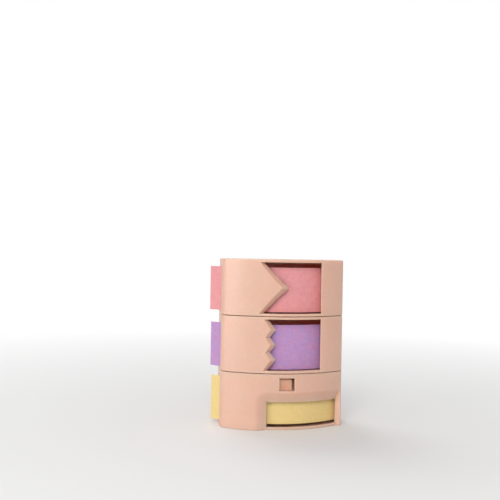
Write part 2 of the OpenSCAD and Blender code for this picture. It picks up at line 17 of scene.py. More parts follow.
import bmesh
import bpy
import numpy as np
from mathutils import Matrix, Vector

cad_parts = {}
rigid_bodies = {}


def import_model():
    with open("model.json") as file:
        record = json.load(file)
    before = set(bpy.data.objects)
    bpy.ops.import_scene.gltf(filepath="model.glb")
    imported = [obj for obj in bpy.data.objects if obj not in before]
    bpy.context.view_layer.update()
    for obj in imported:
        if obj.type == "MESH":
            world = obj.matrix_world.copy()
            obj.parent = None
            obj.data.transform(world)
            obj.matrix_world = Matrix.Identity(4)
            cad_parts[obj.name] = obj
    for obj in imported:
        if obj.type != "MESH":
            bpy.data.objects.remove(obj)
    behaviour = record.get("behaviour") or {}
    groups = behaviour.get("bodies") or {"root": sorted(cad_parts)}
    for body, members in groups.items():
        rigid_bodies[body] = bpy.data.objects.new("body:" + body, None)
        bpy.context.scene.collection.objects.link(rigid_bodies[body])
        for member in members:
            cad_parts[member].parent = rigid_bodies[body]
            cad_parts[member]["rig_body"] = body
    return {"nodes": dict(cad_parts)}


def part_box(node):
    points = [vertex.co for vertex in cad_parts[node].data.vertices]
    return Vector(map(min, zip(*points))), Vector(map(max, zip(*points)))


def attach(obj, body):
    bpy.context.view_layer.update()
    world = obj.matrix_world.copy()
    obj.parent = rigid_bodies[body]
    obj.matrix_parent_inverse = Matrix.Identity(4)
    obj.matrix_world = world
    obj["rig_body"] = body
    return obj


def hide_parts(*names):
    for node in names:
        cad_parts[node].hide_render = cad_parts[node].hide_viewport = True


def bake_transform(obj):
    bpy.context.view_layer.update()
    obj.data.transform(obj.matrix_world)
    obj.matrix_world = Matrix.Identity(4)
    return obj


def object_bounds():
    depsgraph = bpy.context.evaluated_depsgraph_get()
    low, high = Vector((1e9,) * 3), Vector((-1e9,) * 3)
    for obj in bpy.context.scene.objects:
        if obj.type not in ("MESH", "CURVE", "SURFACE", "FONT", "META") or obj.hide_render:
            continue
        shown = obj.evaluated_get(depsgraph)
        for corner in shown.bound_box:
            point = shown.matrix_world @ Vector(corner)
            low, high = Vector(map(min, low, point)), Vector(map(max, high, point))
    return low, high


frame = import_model()
CAD_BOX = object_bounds()

LOG = logging.getLogger("tape_cutter")
Color = tuple[float, float, float]
Place = tuple[float, float, float]
Span = tuple[float, float]
UP = np.array([0.0, 0.0, 1.0])
WHITE = (1.0, 1.0, 1.0, 1.0)

# Millimetres to metres
MM = 0.001
# Corners that lie closer than this, in metres, are welded
WELD = 2e-7
# Faces of a frame node that turn by less than this, in degrees, are one flat
FLAT_ANGLE = 0.4
# Edges of an unrounded piece that turn by more than this, in degrees, stay crisp
SHARP_ANGLE = 30.0
# Gap between the tape and what is moulded round it, in millimetres
TAPE_CLEARANCE = 0.1
# Gap between a steel piece and its seat, in millimetres
SEAT_GAP = 0.05
# Thickness of the two blades behind the cutting edges, in millimetres
BLADE_T = 0.3
# Width of the strip that the slitter leaves, in millimetres
NARROW_W = 7.5
# UV map that runs along a tape
UV_NAME = "run"


class Slot(Enum):
    """Material slots of the record."""

    PLASTIC = "peach_plastic"
    STEEL = "steel"
    SILICONE = "silicone"
    PINK = "pink_tape"
    LILAC = "lilac_tape"
    YELLOW = "yellow_tape"


class Station(Enum):
    """The three stations, by the name that their nodes begin with."""

    RIBBON = "ribbon"
    ZIGZAG = "zigzag"
    SLITTER = "slitter"


# Meshes from grids


def node_box(node: str) -> np.ndarray:
    """Lowest and highest corners of a frame node, in millimetres, as two rows."""
    return np.round(np.array([list(corner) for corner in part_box(node)]) / MM, 5)


def stops(first: float, *legs: tuple[float, int]) -> np.ndarray:
    """Values from the first one through each leg's end.

    Args:
        first: The value to start from.
        legs: For each leg its end value and its number of equal steps.

    Returns:
        All values in order, with each leg's end once.
    """
    values = [np.array([first])]
    for end, steps in legs:
        values.append(np.linspace(values[-1][-1], end, steps + 1)[1:])
    return np.concatenate(values)


def along(points: np.ndarray, share: np.ndarray) -> np.ndarray:
    """Places on a polyline at shares of its length, by linear interpolation over the summed lengths.

    Args:
        points: Corners of the polyline, as [corner, xy].
        share: Shares of its length, from 0 to 1.

    Returns:
        The places, as [share, xy].
    """
    lengths = np.linalg.norm(np.diff(points, axis=0), axis=1)
    reach = np.concatenate([[0.0], np.cumsum(lengths)])
    return np.stack([np.interp(share * reach[-1], reach, axis) for axis in points.T], axis=-1)


def raised(flat: np.ndarray, z: np.ndarray) -> np.ndarray:
    """Sets plan places at heights.

    Args:
        flat: X and Y, as [column, 2] for all rows or as [row, column, 2].
        z: Height of each row.

    Returns:
        The grid, as [row, column, xyz].
    """
    rows = np.broadcast_to(flat, (len(z), *flat.shape[-2:]))
    return np.concatenate([rows, np.broadcast_to(z[:, None, None], (*rows.shape[:2], 1))], axis=-1)


class Patchwork:
    """Collects patches of quads in millimetres and welds them into one closed mesh."""

    def __init__(self) -> None:
        """Starts with no patches."""
        self.corners: list[np.ndarray] = []

    def grid(self, points: np.ndarray, keep: np.ndarray | None = None) -> None:
        """Adds the cells of a grid.

        Args:
            points: Grid of places, as [row, column, xyz].
            keep: Mask of the cells to keep, or None for all of them.
        """
        cells = np.stack([points[:-1, :-1], points[:-1, 1:], points[1:, 1:], points[1:, :-1]], axis=2)
        self.corners.append(cells.reshape(-1, 4, 3) if keep is None else cells[keep])

    def strip(self, first: np.ndarray, second: np.ndarray) -> None:
        """Adds the ladder of quads between two lines of places."""
        self.grid(np.stack([first, second]))

    def wall(self, outer: np.ndarray, inner: np.ndarray, opened: np.ndarray, ends: tuple[int, int]) -> None:
        """Adds the reveals that join two skins where a closed cell meets an open one.

        Args:
            outer: Outer skin, as [row, column, xyz].
            inner: Inner skin, with the same cells.
            opened: Mask of the cells that are open.
            ends: Rows and columns of open cells to take as lying round the grid, 0 or 1 each.
        """
        rows, columns = ends
        mask = np.pad(opened, [(rows, rows), (columns, columns)], constant_values=True)
        upright = mask[rows : mask.shape[0] - rows]
        row, column = np.nonzero(upright[:, 1:] != upright[:, :-1])
        column = column + 1 - columns
        quads = [outer[row, column], outer[row + 1, column], inner[row + 1, column], inner[row, column]]
        self.corners.append(np.stack(quads, axis=1))
        level = mask[:, columns : mask.shape[1] - columns]
        row, column = np.nonzero(level[1:] != level[:-1])
        row = row + 1 - rows
        quads = [outer[row, column], outer[row, column + 1], inner[row, column + 1], inner[row, column]]
        self.corners.append(np.stack(quads, axis=1))

    def sheet(self, outer: np.ndarray, inner: np.ndarray, opened: np.ndarray | None = None) -> None:
        """Adds a closed sheet: both skins, and the reveals round every edge.

        Args:
            outer: Outer skin, as [row, column, xyz].
            inner: Inner skin, with the same cells.
            opened: Mask of the cells that are open, or None for a whole sheet.
        """
        if opened is None:
            opened = np.zeros((outer.shape[0] - 1, outer.shape[1] - 1), dtype=bool)
        self.grid(outer, ~opened)
        self.grid(inner, ~opened)
        self.wall(outer, inner, opened, (1, 1))

    def turned(self, profile: np.ndarray, turns: int, origin: np.ndarray, axis: np.ndarray) -> None:
        """Adds a profile turned about an axis.

        A point (r, h) of the profile becomes origin + h axis + r (cos a first + sin a second) at each
        turn a, where first and second stand square to the axis and to each other.

        Args:
            profile: Radius and height, as [place, 2], or as [turn, place, 2] where they change round the
                axis. It starts and ends on the axis, or is a closed loop with its first place repeated.
            turns: Number of steps round the axis.
            origin: Where the heights start.
            axis: Direction of the axis, of length 1.
        """
        angle = np.linspace(0, 2 * np.pi, turns + 1)
        angle[-1] = 0
        lines = np.broadcast_to(profile, (turns + 1, *profile.shape[-2:]))
        helper = np.array([1.0, 0.0, 0.0]) if np.isclose(abs(axis[2]), 1.0) else UP
        first = np.cross(axis, helper)
        first /= np.linalg.norm(first)
        second = np.cross(axis, first)
        spoke = np.cos(angle)[:, None] * first + np.sin(angle)[:, None] * second
        self.grid(origin + lines[..., :1] * spoke[:, None] + lines[..., 1:] * axis)

    def shift(self, offset: np.ndarray) -> None:
        """Moves all patches by an offset."""
        self.corners = [corners + offset for corners in self.corners]

    def build(self, name: str) -> bpy.types.Object:
        """Welds the patches and returns the closed mesh as a new object at the origin."""
        places = np.concatenate(self.corners).reshape(-1, 3) * MM
        return welded_object(name, places, np.arange(len(places)).reshape(-1, 4))

    def build_crisp(self, name: str) -> bpy.types.Object:
        """Builds the patches as an unrounded piece whose edges stay crisp.

        Args:
            name: Name of the piece.

        Returns:
            The piece.
        """
        piece = self.build(name)
        piece.data.set_sharp_from_angle(angle=math.radians(SHARP_ANGLE))
        return piece


def welded_object(name: str, places: np.ndarray, faces: np.ndarray, flat: float = 0.0) -> bpy.types.Object:
    """Makes an object of loose faces: merges doubles, drops what collapses and turns the faces outwards.

    Args:
        name: Name of the object.
        places: Corners in metres, as [corner, xyz].
        faces: Numbers of the faces' corners, as [face, corner].
        flat: Angle in degrees below which neighbouring faces become one, or 0 to keep them all.

    Returns:
        The object, at the origin.
    """
    mesh = bpy.data.meshes.new(name)
    mesh.from_pydata(places.tolist(), [], faces.tolist())
    welded = bmesh.new()
    welded.from_mesh(mesh)
    bmesh.ops.remove_doubles(welded, verts=welded.verts, dist=WELD)
    bmesh.ops.dissolve_degenerate(welded, edges=welded.edges, dist=WELD)
    bmesh.ops.recalc_face_normals(welded, faces=welded.faces)
    loose = sum(not edge.is_manifold for edge in welded.edges)
    if loose:
        LOG.warning("%d edges of %s are not closed", loose, name)
    if flat:
        angle = math.radians(flat)
        bmesh.ops.dissolve_limit(welded, angle_limit=angle, verts=welded.verts, edges=welded.edges)
    welded.to_mesh(mesh)
    welded.free()
    return new_object(name, mesh)


def new_object(name: str, mesh: bpy.types.Mesh) -> bpy.types.Object:
    """Links a mesh as a smooth-shaded object at the origin.

    Args:
        name: Name of the object.
        mesh: Its mesh.

    Returns:
        The object.
    """
    mesh.shade_smooth()
    piece = bpy.data.objects.new(name, mesh)
    bpy.context.scene.collection.objects.link(piece)
    return piece


def read(items: object, key: str, kind: type, width: int = 1) -> np.ndarray:
    """Reads one property of all items of a mesh.

    Args:
        items: Vertices, edges, corners or faces of the mesh.
        key: Name of the property.
        kind: Its type of number.
        width: How many numbers an item has.

    Returns:
        The values, as [item] or as [item, width].
    """
    values = np.empty(len(items) * width, dtype=kind)
    items.foreach_get(key, values)
    return values.reshape(-1, width) if width > 1 else values


def outer_edges(mesh: bpy.types.Mesh, angle: float) -> np.ndarray:
    """Mask of the edges that stand out: two faces that fall away from each other by more than the angle.

    With normals n and centres c of an edge's two faces, it stands out where n1 . n2 < cos(angle) and
    (c2 - c1) . n1 < 0.

    Args:
        mesh: The mesh.
        angle: The angle in degrees.

    Returns:
        The mask, with a value for each edge.
    """
    face = np.repeat(np.arange(len(mesh.polygons)), read(mesh.polygons, "loop_total", np.int32))
    edge = read(mesh.loops, "edge_index", np.int32)
    order = np.argsort(edge, kind="stable")
    paired = np.bincount(edge, minlength=len(mesh.edges)) == 2
    first, second = face[order][paired[edge[order]]].reshape(-1, 2).T
    normal = read(mesh.polygons, "normal", np.float32, 3)
    centre = read(mesh.polygons, "center", np.float32, 3)
    sharp = (normal[first] * normal[second]).sum(axis=1) < math.cos(math.radians(angle))
    falls = ((centre[second] - centre[first]) * normal[first]).sum(axis=1) < 0
    outer = np.zeros(len(mesh.edges), dtype=bool)
    outer[paired] = sharp & falls
    return outer


def soften(piece: bpy.types.Object, radius: float, segments: int = 3, angle: float = 38.0) -> None:
    """Rounds the piece's sharp outer edges and leaves its inner corners crisp.

    Args:
        piece: The object to round.
        radius: Width of the rounding in millimetres.
        segments: Steps across it.
        angle: Least angle between two faces, in degrees, at which their edge is rounded.
    """
    weight = piece.data.attributes.new("bevel_weight_edge", "FLOAT", "EDGE")
    weight.data.foreach_set("value", outer_edges(piece.data, angle).astype(np.float32))
    piece.data.set_sharp_from_angle(angle=math.radians(angle))
    bevel = piece.modifiers.new("moulded_edges", "BEVEL")
    bevel.width = radius * MM
    bevel.segments = segments
    bevel.limit_method = "WEIGHT"
    bevel.use_clamp_overlap = True
    bevel.harden_normals = True


def softened_copy(node: str, name: str, radius: float) -> bpy.types.Object:
    """A copy of a frame node with its doubles merged, its flats made whole and its edges rounded.

    Args:
        node: Name of the frame node.
        name: Name of the copy.
        radius: Width of the rounding in millimetres.

    Returns:
        The copy.
    """
    source = frame["nodes"][node].data
    places = read(source.vertices, "co", np.float32, 3)
    triangles = read(source.polygons, "vertices", np.int32, 3)
    piece = welded_object(name, places, triangles, flat=FLAT_ANGLE)
    soften(piece, radius, segments=2)
    return piece


# Shader groups and finishes


class NodeSketch:
    """Adds and links the nodes of one tree."""

    def __init__(self, tree: bpy.types.NodeTree) -> None:
        """Takes the tree to work on."""
        self.tree = tree

    def add(self, kind: str, inputs: dict | None = None, **settings: object) -> bpy.types.Node:
        """Adds a node.

        Args:
            kind: Blender's name of the node type.
            inputs: For each input its value, or the socket that feeds it.
            settings: Properties of the node itself.

        Returns:
            The new node.
        """
        node = self.tree.nodes.new(kind)
        for key, value in settings.items():
            setattr(node, key, value)
        self.feed(node, inputs or {})
        return node

    def feed(self, node: bpy.types.Node, inputs: dict) -> None:
        """Sets or links a node's inputs, each by its name or its number.

        Args:
            node: The node.
            inputs: For each input its value, or the socket that feeds it.
        """
        for key, value in inputs.items():
            if isinstance(value, bpy.types.NodeSocket):
                self.tree.links.new(value, node.inputs[key])
            else:
                node.inputs[key].default_value = value

    def group(self, tree: bpy.types.NodeTree, inputs: dict) -> bpy.types.Node:
        """Places a shader group with its own values."""
        return self.add("ShaderNodeGroup", inputs, node_tree=tree)

    def blend(self, share: object, first: object, second: object, kind: str = "MIX") -> bpy.types.NodeSocket:
        """Mixes two colours by a share and returns the colour socket."""
        node = self.add("ShaderNodeMix", {0: share, 6: first, 7: second}, data_type="RGBA", blend_type=kind)
        return node.outputs[2]

    def reach(self, value: object, old: Span, new: Span) -> bpy.types.NodeSocket:
        """Maps a value from an old range to a new one, clamped, and returns the result."""
        inputs = {"Value": value, "From Min": old[0], "From Max": old[1], "To Min": new[0], "To Max": new[1]}
        return self.add("ShaderNodeMapRange", inputs).outputs["Result"]

    def noise(self, place: object, scale: object, detail: float) -> bpy.types.NodeSocket:
        """Adds a noise at places in metres and returns its value."""
        inputs = {"Vector": place, "Scale": scale, "Detail": detail}
        return self.add("ShaderNodeTexNoise", inputs).outputs["Fac"]

    def math(self, operation: str, first: object, second: object) -> bpy.types.NodeSocket:
        """Works out one step of arithmetic and returns the result."""
        return self.add("ShaderNodeMath", {0: first, 1: second}, operation=operation).outputs[0]


class ShaderGroup:
    """A shader node group with named inputs and outputs, ready to be filled."""

    KINDS = {float: "NodeSocketFloat", tuple: "NodeSocketColor", str: "NodeSocketVector"}

    def __init__(self, name: str, inputs: dict[str, object], outputs: dict[str, type]) -> None:
        """Makes the group and its sockets.

        Args:
            name: Name of the group.
            inputs: For each input its start value: a number, a colour, or any word for a vector.
            outputs: For each output its kind: float or tuple.
        """
        self.tree = bpy.data.node_groups.new(name, "ShaderNodeTree")
        for key, value in inputs.items():
            socket = self.tree.interface.new_socket(key, in_out="INPUT", socket_type=self.KINDS[type(value)])
            if not isinstance(value, str):
                socket.default_value = value
        for key, kind in outputs.items():
            self.tree.interface.new_socket(key, in_out="OUTPUT", socket_type=self.KINDS[kind])
        self.sketch = NodeSketch(self.tree)
        self.inputs = self.sketch.add("NodeGroupInput").outputs
        self.outputs = self.sketch.add("NodeGroupOutput").inputs

    def put_out(self, **results: bpy.types.NodeSocket) -> bpy.types.NodeTree:
        """Links the results to the group's outputs.

        Args:
            results: For each output the socket that feeds it.

        Returns:
            The group's tree.
        """
        for key, socket in results.items():
            self.tree.links.new(socket, self.outputs[key])
        return self.tree


@cache
def mould_grain_group() -> bpy.types.NodeTree:
    """Spark-eroded mould skin: a fine even grain, soft flow clouds in the colour and a patchy gloss.

    Returns:
        The group's tree.
    """
    inputs = {"Vector": "place", "Color": (0.8, 0.8, 0.8, 1.0), "Grain": 3000.0, "Clouds": 0.05, "Gloss": 0.4}
    group = ShaderGroup("mould_grain", inputs, {"Color": tuple, "Roughness": float, "Height": float})
    sketch = group.sketch
    place = group.inputs["Vector"]
    grain = sketch.noise(place, scale=group.inputs["Grain"], detail=2.0)
    flow = sketch.noise(place, scale=120.0, detail=3.0)
    rubbed = sketch.noise(place, scale=420.0, detail=4.0)
    flow_tint = (0.86, 0.80, 0.78, 1.0)
    darker = sketch.blend(1.0, group.inputs["Color"], flow_tint, "MULTIPLY")
    cloud = sketch.reach(flow, old=(0.35, 0.75), new=(0.0, 0.45))
    speck = sketch.reach(grain, old=(0.3, 0.7), new=(0.0, 1.0))
    shade = sketch.math("MULTIPLY", sketch.math("ADD", cloud, speck), group.inputs["Clouds"])
    patch = sketch.reach(rubbed, old=(0.3, 0.7), new=(-0.05, 0.07))
    return group.put_out(
        Color=sketch.blend(shade, group.inputs["Color"], darker),
        Roughness=sketch.math("ADD", group.inputs["Gloss"], patch),
        Height=grain,
    )


@cache
def edge_wear_group() -> bpy.types.NodeTree:
    """Mask that is 1 along edges that hands rub: where a rounded normal departs from the true one.

    Returns:
        The group's tree.
    """
    group = ShaderGroup("edge_wear", {"Vector": "place", "Width": 0.0004}, {"Mask": float})
    sketch = group.sketch
    rounded = sketch.add("ShaderNodeBevel", {"Radius": group.inputs["Width"]}, samples=4)
    true = sketch.add("ShaderNodeNewGeometry")
    normals = {0: rounded.outputs["Normal"], 1: true.outputs["Normal"]}
    apart = sketch.add("ShaderNodeVectorMath", normals, operation="DOT_PRODUCT")
    edge = sketch.reach(apart.outputs["Value"], old=(0.985, 0.80), new=(0.0, 1.0))
    scuff = sketch.noise(group.inputs["Vector"], scale=900.0, detail=3.0)
    uneven = sketch.reach(scuff, old=(0.35, 0.65), new=(0.35, 1.0))
    return group.put_out(Mask=sketch.math("MULTIPLY", edge, uneven))


@cache
def paper_fibre_group() -> bpy.types.NodeTree:
    """Washi paper: long fibres that run both ways over a fine crepe, with a dye that took unevenly.

    The vector is the tape's own UV map in metres, with U along the tape.

    Returns:
        The group's tree.
    """
    colors = {"Color": (0.8, 0.8, 0.8, 1.0), "Pale": (0.9, 0.9, 0.9, 1.0), "Second": (0.8, 0.8, 0.8, 1.0)}
    inputs = {"Vector": "place", **colors, "Mottle": 0.3}
    group = ShaderGroup("paper_fibre", inputs, {"Color": tuple, "Roughness": float, "Height": float})
    sketch = group.sketch
    place = group.inputs["Vector"]
    runs = []
    for stretch in ((420.0, 2600.0, 1.0), (2200.0, 520.0, 1.0)):
        spread = sketch.add("ShaderNodeMapping", {"Vector": place, "Scale": stretch}).outputs["Vector"]
        noise = sketch.noise(spread, scale=1.0, detail=3.0)
        runs.append(sketch.reach(noise, old=(0.4, 0.68), new=(0.0, 1.0)))
    crepe = sketch.noise(place, scale=3600.0, detail=2.0)
    dye = sketch.noise(place, scale=420.0, detail=4.0)
    fibre = sketch.math("MAXIMUM", *runs)
    fibre_rise = sketch.math("MULTIPLY", fibre, 0.6)
    pale = sketch.math("MULTIPLY", fibre, group.inputs["Mottle"])
    patch = sketch.reach(dye, old=(0.35, 0.65), new=(0.0, 1.0))
    dyed = sketch.blend(patch, group.inputs["Color"], group.inputs["Second"])
    return group.put_out(
        Color=sketch.blend(pale, dyed, group.inputs["Pale"]),
        Roughness=sketch.reach(crepe, old=(0.3, 0.7), new=(0.55, 0.72)),
        Height=sketch.math("ADD", fibre_rise, crepe),
    )


@cache
def brushed_metal_group() -> bpy.types.NodeTree:
    """Rolled strip steel: fine lines along X, a faint cast in the colour and a lined gloss.

    Returns:
        The group's tree.
    """
    group = ShaderGroup(
        "brushed_metal",
        {"Vector": "place", "Color": (0.6, 0.6, 0.6, 1.0), "Gloss": 0.25},
        {"Color": tuple, "Roughness": float, "Height": float},
    )
    sketch = group.sketch
    place = group.inputs["Vector"]
    stretch = (260.0, 260.0, 9000.0)
    drawn = sketch.add("ShaderNodeMapping", {"Vector": place, "Scale": stretch})
    lines = sketch.noise(drawn.outputs["Vector"], scale=1.0, detail=3.0)
    stain = sketch.noise(place, scale=380.0, detail=3.0)
    stain_tint = (0.80, 0.82, 0.86, 1.0)
    dull = sketch.blend(1.0, group.inputs["Color"], stain_tint, "MULTIPLY")
    patch = sketch.reach(stain, old=(0.4, 0.7), new=(0.0, 0.8))
    ridge = sketch.reach(lines, old=(0.3, 0.7), new=(-0.06, 0.10))
    return group.put_out(
        Color=sketch.blend(patch, group.inputs["Color"], dull),
        Roughness=sketch.math("ADD", group.inputs["Gloss"], ridge),
        Height=lines,
    )


def blank_material(name: str) -> tuple[bpy.types.Material, NodeSketch]:
    """Makes a material with an empty node tree, and the sketch to fill it.

    Args:
        name: Name of the material.

    Returns:
        The material and its sketch.
    """
    material = bpy.data.materials.new(name)
    material.use_nodes = True
    material.node_tree.nodes.clear()
    return material, NodeSketch(material.node_tree)


def surface(sketch: NodeSketch, inputs: dict, height: bpy.types.NodeSocket, depth: float) -> None:
    """Ends a material with a bumped Principled BSDF.

    Args:
        sketch: The material's sketch.
        inputs: Values and sockets of the BSDF.
        height: Height of the bump.
        depth: Depth of the bump in millimetres.
    """
    bump = sketch.add("ShaderNodeBump", {"Height": height, "Distance": depth * MM, "Strength": 1.0})
    shader = sketch.add("ShaderNodeBsdfPrincipled", {**inputs, "Normal": bump.outputs["Normal"]})
    sketch.add("ShaderNodeOutputMaterial", {"Surface": shader.outputs["BSDF"]})


@dataclass(frozen=True)
class PlasticFinish:
    """Satin moulded plastic with a fine grain and rubbed edges."""

    name: str
    color: Color
    rubbed: Color
    gloss: float = 0.38
    polish: float = 0.8
    grain: float = 2000.0
    grain_depth: float = 0.04
    clouds: float = 0.35
    wear: float = 0.2
    rub_shine: float = 0.15
    glow: float = 0.7
    glow_depth: float = 2.3
    glow_reach: Color = (1.0, 0.58, 0.48)
    ior: float = 1.5

    def material(self) -> bpy.types.Material:
        """Builds the material.

        Returns:
            The material.
        """
        material, sketch = blank_material(self.name)
        place = sketch.add("ShaderNodeTexCoord").outputs["Object"]
        values = {"Vector": place, "Color": (*self.color, 1.0), "Grain": self.grain, "Clouds": self.clouds}
        grain = sketch.group(mould_grain_group(), {**values, "Gloss": self.gloss})
        wear = sketch.group(edge_wear_group(), {"Vector": place})
        rub = sketch.math("MULTIPLY", wear.outputs["Mask"], self.wear)
        shine = sketch.math("MULTIPLY", rub, self.rub_shine)
        inputs = {
            "Base Color": sketch.blend(rub, grain.outputs["Color"], (*self.rubbed, 1.0)),
            "Roughness": sketch.math("SUBTRACT", grain.outputs["Roughness"], shine),
            "Subsurface Weight": self.glow,
            "Subsurface Radius": self.glow_reach,
            "Subsurface Scale": self.glow_depth * MM,
            "IOR": self.ior,
            "Specular IOR Level": self.polish,
        }
        surface(sketch, inputs, grain.outputs["Height"], self.grain_depth)
        return material


@dataclass(frozen=True)
class PaperFinish:
    """Dyed washi paper with a soft sheen."""

    name: str
    color: Color
    second: Color
    pale: Color
    mottle: float = 0.38
    depth: float = 0.03
    sheen: float = 0.15
    ior: float = 1.4

    def material(self) -> bpy.types.Material:
        """Builds the material on the tape's own UV map.

        Returns:
            The material.
        """
        material, sketch = blank_material(self.name)
        place = sketch.add("ShaderNodeUVMap", uv_map=UV_NAME).outputs["UV"]
        colors = {"Color": self.color, "Second": self.second, "Pale": self.pale}
        values = {key: (*color, 1.0) for key, color in colors.items()}
        paper = sketch.group(paper_fibre_group(), {"Vector": place, **values, "Mottle": self.mottle})
        inputs = {
            "Base Color": paper.outputs["Color"],
            "Roughness": paper.outputs["Roughness"],
            "Sheen Weight": self.sheen,
            "IOR": self.ior,
        }
        surface(sketch, inputs, paper.outputs["Height"], self.depth)
        return material


@dataclass(frozen=True)
class SteelFinish:
    """Rolled and ground steel."""

    name: str
    color: Color
    gloss: float = 0.26
    depth: float = 0.004

    def material(self) -> bpy.types.Material:
        """Builds the material.

        Returns:
            The material.
        """
        material, sketch = blank_material(self.name)
        place = sketch.add("ShaderNodeTexCoord").outputs["Object"]
        values = {"Vector": place, "Color": (*self.color, 1.0), "Gloss": self.gloss}
        metal = sketch.group(brushed_metal_group(), values).outputs
        inputs = {"Base Color": metal["Color"], "Roughness": metal["Roughness"], "Metallic": 1.0}
        surface(sketch, inputs, metal["Height"], self.depth)
        return material


Finish = PlasticFinish | PaperFinish | SteelFinish
PEACH = PlasticFinish("peach_plastic", color=(0.81, 0.515, 0.39), rubbed=(0.92, 0.67, 0.55))
# The hold button is the same peach plastic: its darker, more orange colour is painted shade, for the shade
# deep in its window.
BUTTON_PEACH_PAINTED_SHADE = PlasticFinish("button_plastic_painted_shade", color=(0.81, 0.435, 0.285), rubbed=(0.92, 0.64, 0.51))
SILICONE = PlasticFinish(
    "milky_silicone",
    color=(0.74, 0.71, 0.66),
    rubbed=(0.80, 0.78, 0.74),
    gloss=0.55,
    polish=0.5,
)
STEEL = SteelFinish("strip_steel", color=(0.62, 0.62, 0.63))
PINK_PAPER = PaperFinish(
    "pink_paper",
    color=(0.80, 0.30, 0.30),
    second=(0.74, 0.28, 0.31),
    pale=(0.90, 0.48, 0.48),
)
LILAC_PAPER = PaperFinish(
    "lilac_paper",
    color=(0.52, 0.245, 0.50),
    second=(0.43, 0.265, 0.56),
    pale=(0.66, 0.43, 0.67),
)
YELLOW_PAPER = PaperFinish(
    "yellow_paper",
    color=(0.84, 0.60, 0.24),
    second=(0.80, 0.62, 0.22),
    pale=(0.92, 0.76, 0.40),
)


@dataclass(frozen=True)
class Bend:
    """A bend across a joint, only stored: the piece would follow its own body before start, and the other one
    after end.
    """

    other: str
    start: Place
    end: Place


class Dresser:
    """Gives pieces their finish, the body of stiff ones and their frame nodes, with one material per finish.
    """

    def __init__(self) -> None:
        """Starts with no materials made."""
        self.made: dict[str, bpy.types.Material] = {}

    def material(self, finish: Finish) -> bpy.types.Material:
        """Finds the finish's material, and builds it at its first use.

        Args:
            finish: The finish.

        Returns:
            Its material.
        """
        if finish.name not in self.made:
            self.made[finish.name] = finish.material()
        return self.made[finish.name]

    def coat(self, piece: bpy.types.Object, finish: Finish) -> None:
        """Puts the finish all over the piece."""
        piece.data.materials.clear()
        piece.data.materials.append(self.material(finish))

    def stand_for(
        self, piece: bpy.types.Object, node: str, finish: Finish, slot: Slot, bend: Bend | None = None
    ) -> None:
        """Lets a new piece stand for a frame node; a stiff piece rides on that node's body.

        Args:
            piece: The new piece.
            node: The frame node that it stands for.
            finish: Its finish.
            slot: The record's slot that the finish belongs to; not used.
            bend: A bend towards another body, or None for a stiff piece. A piece with a bend is only fixed
                where it stands, on no body; the bend is not applied.
        """
        self.coat(piece, finish)
        body = frame["nodes"][node]["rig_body"]
        if bend is None:
            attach(piece, body)
        else:
            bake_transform(piece)
        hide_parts(node)
        LOG.info("%s stands for %s", piece.name, node)

    def keep(self, node: str, finish: Finish) -> None:
        """Shows a frame node as it is, in its finish."""
        self.coat(frame["nodes"][node], finish)
        LOG.info("%s is kept", node)


# Sub-assemblies


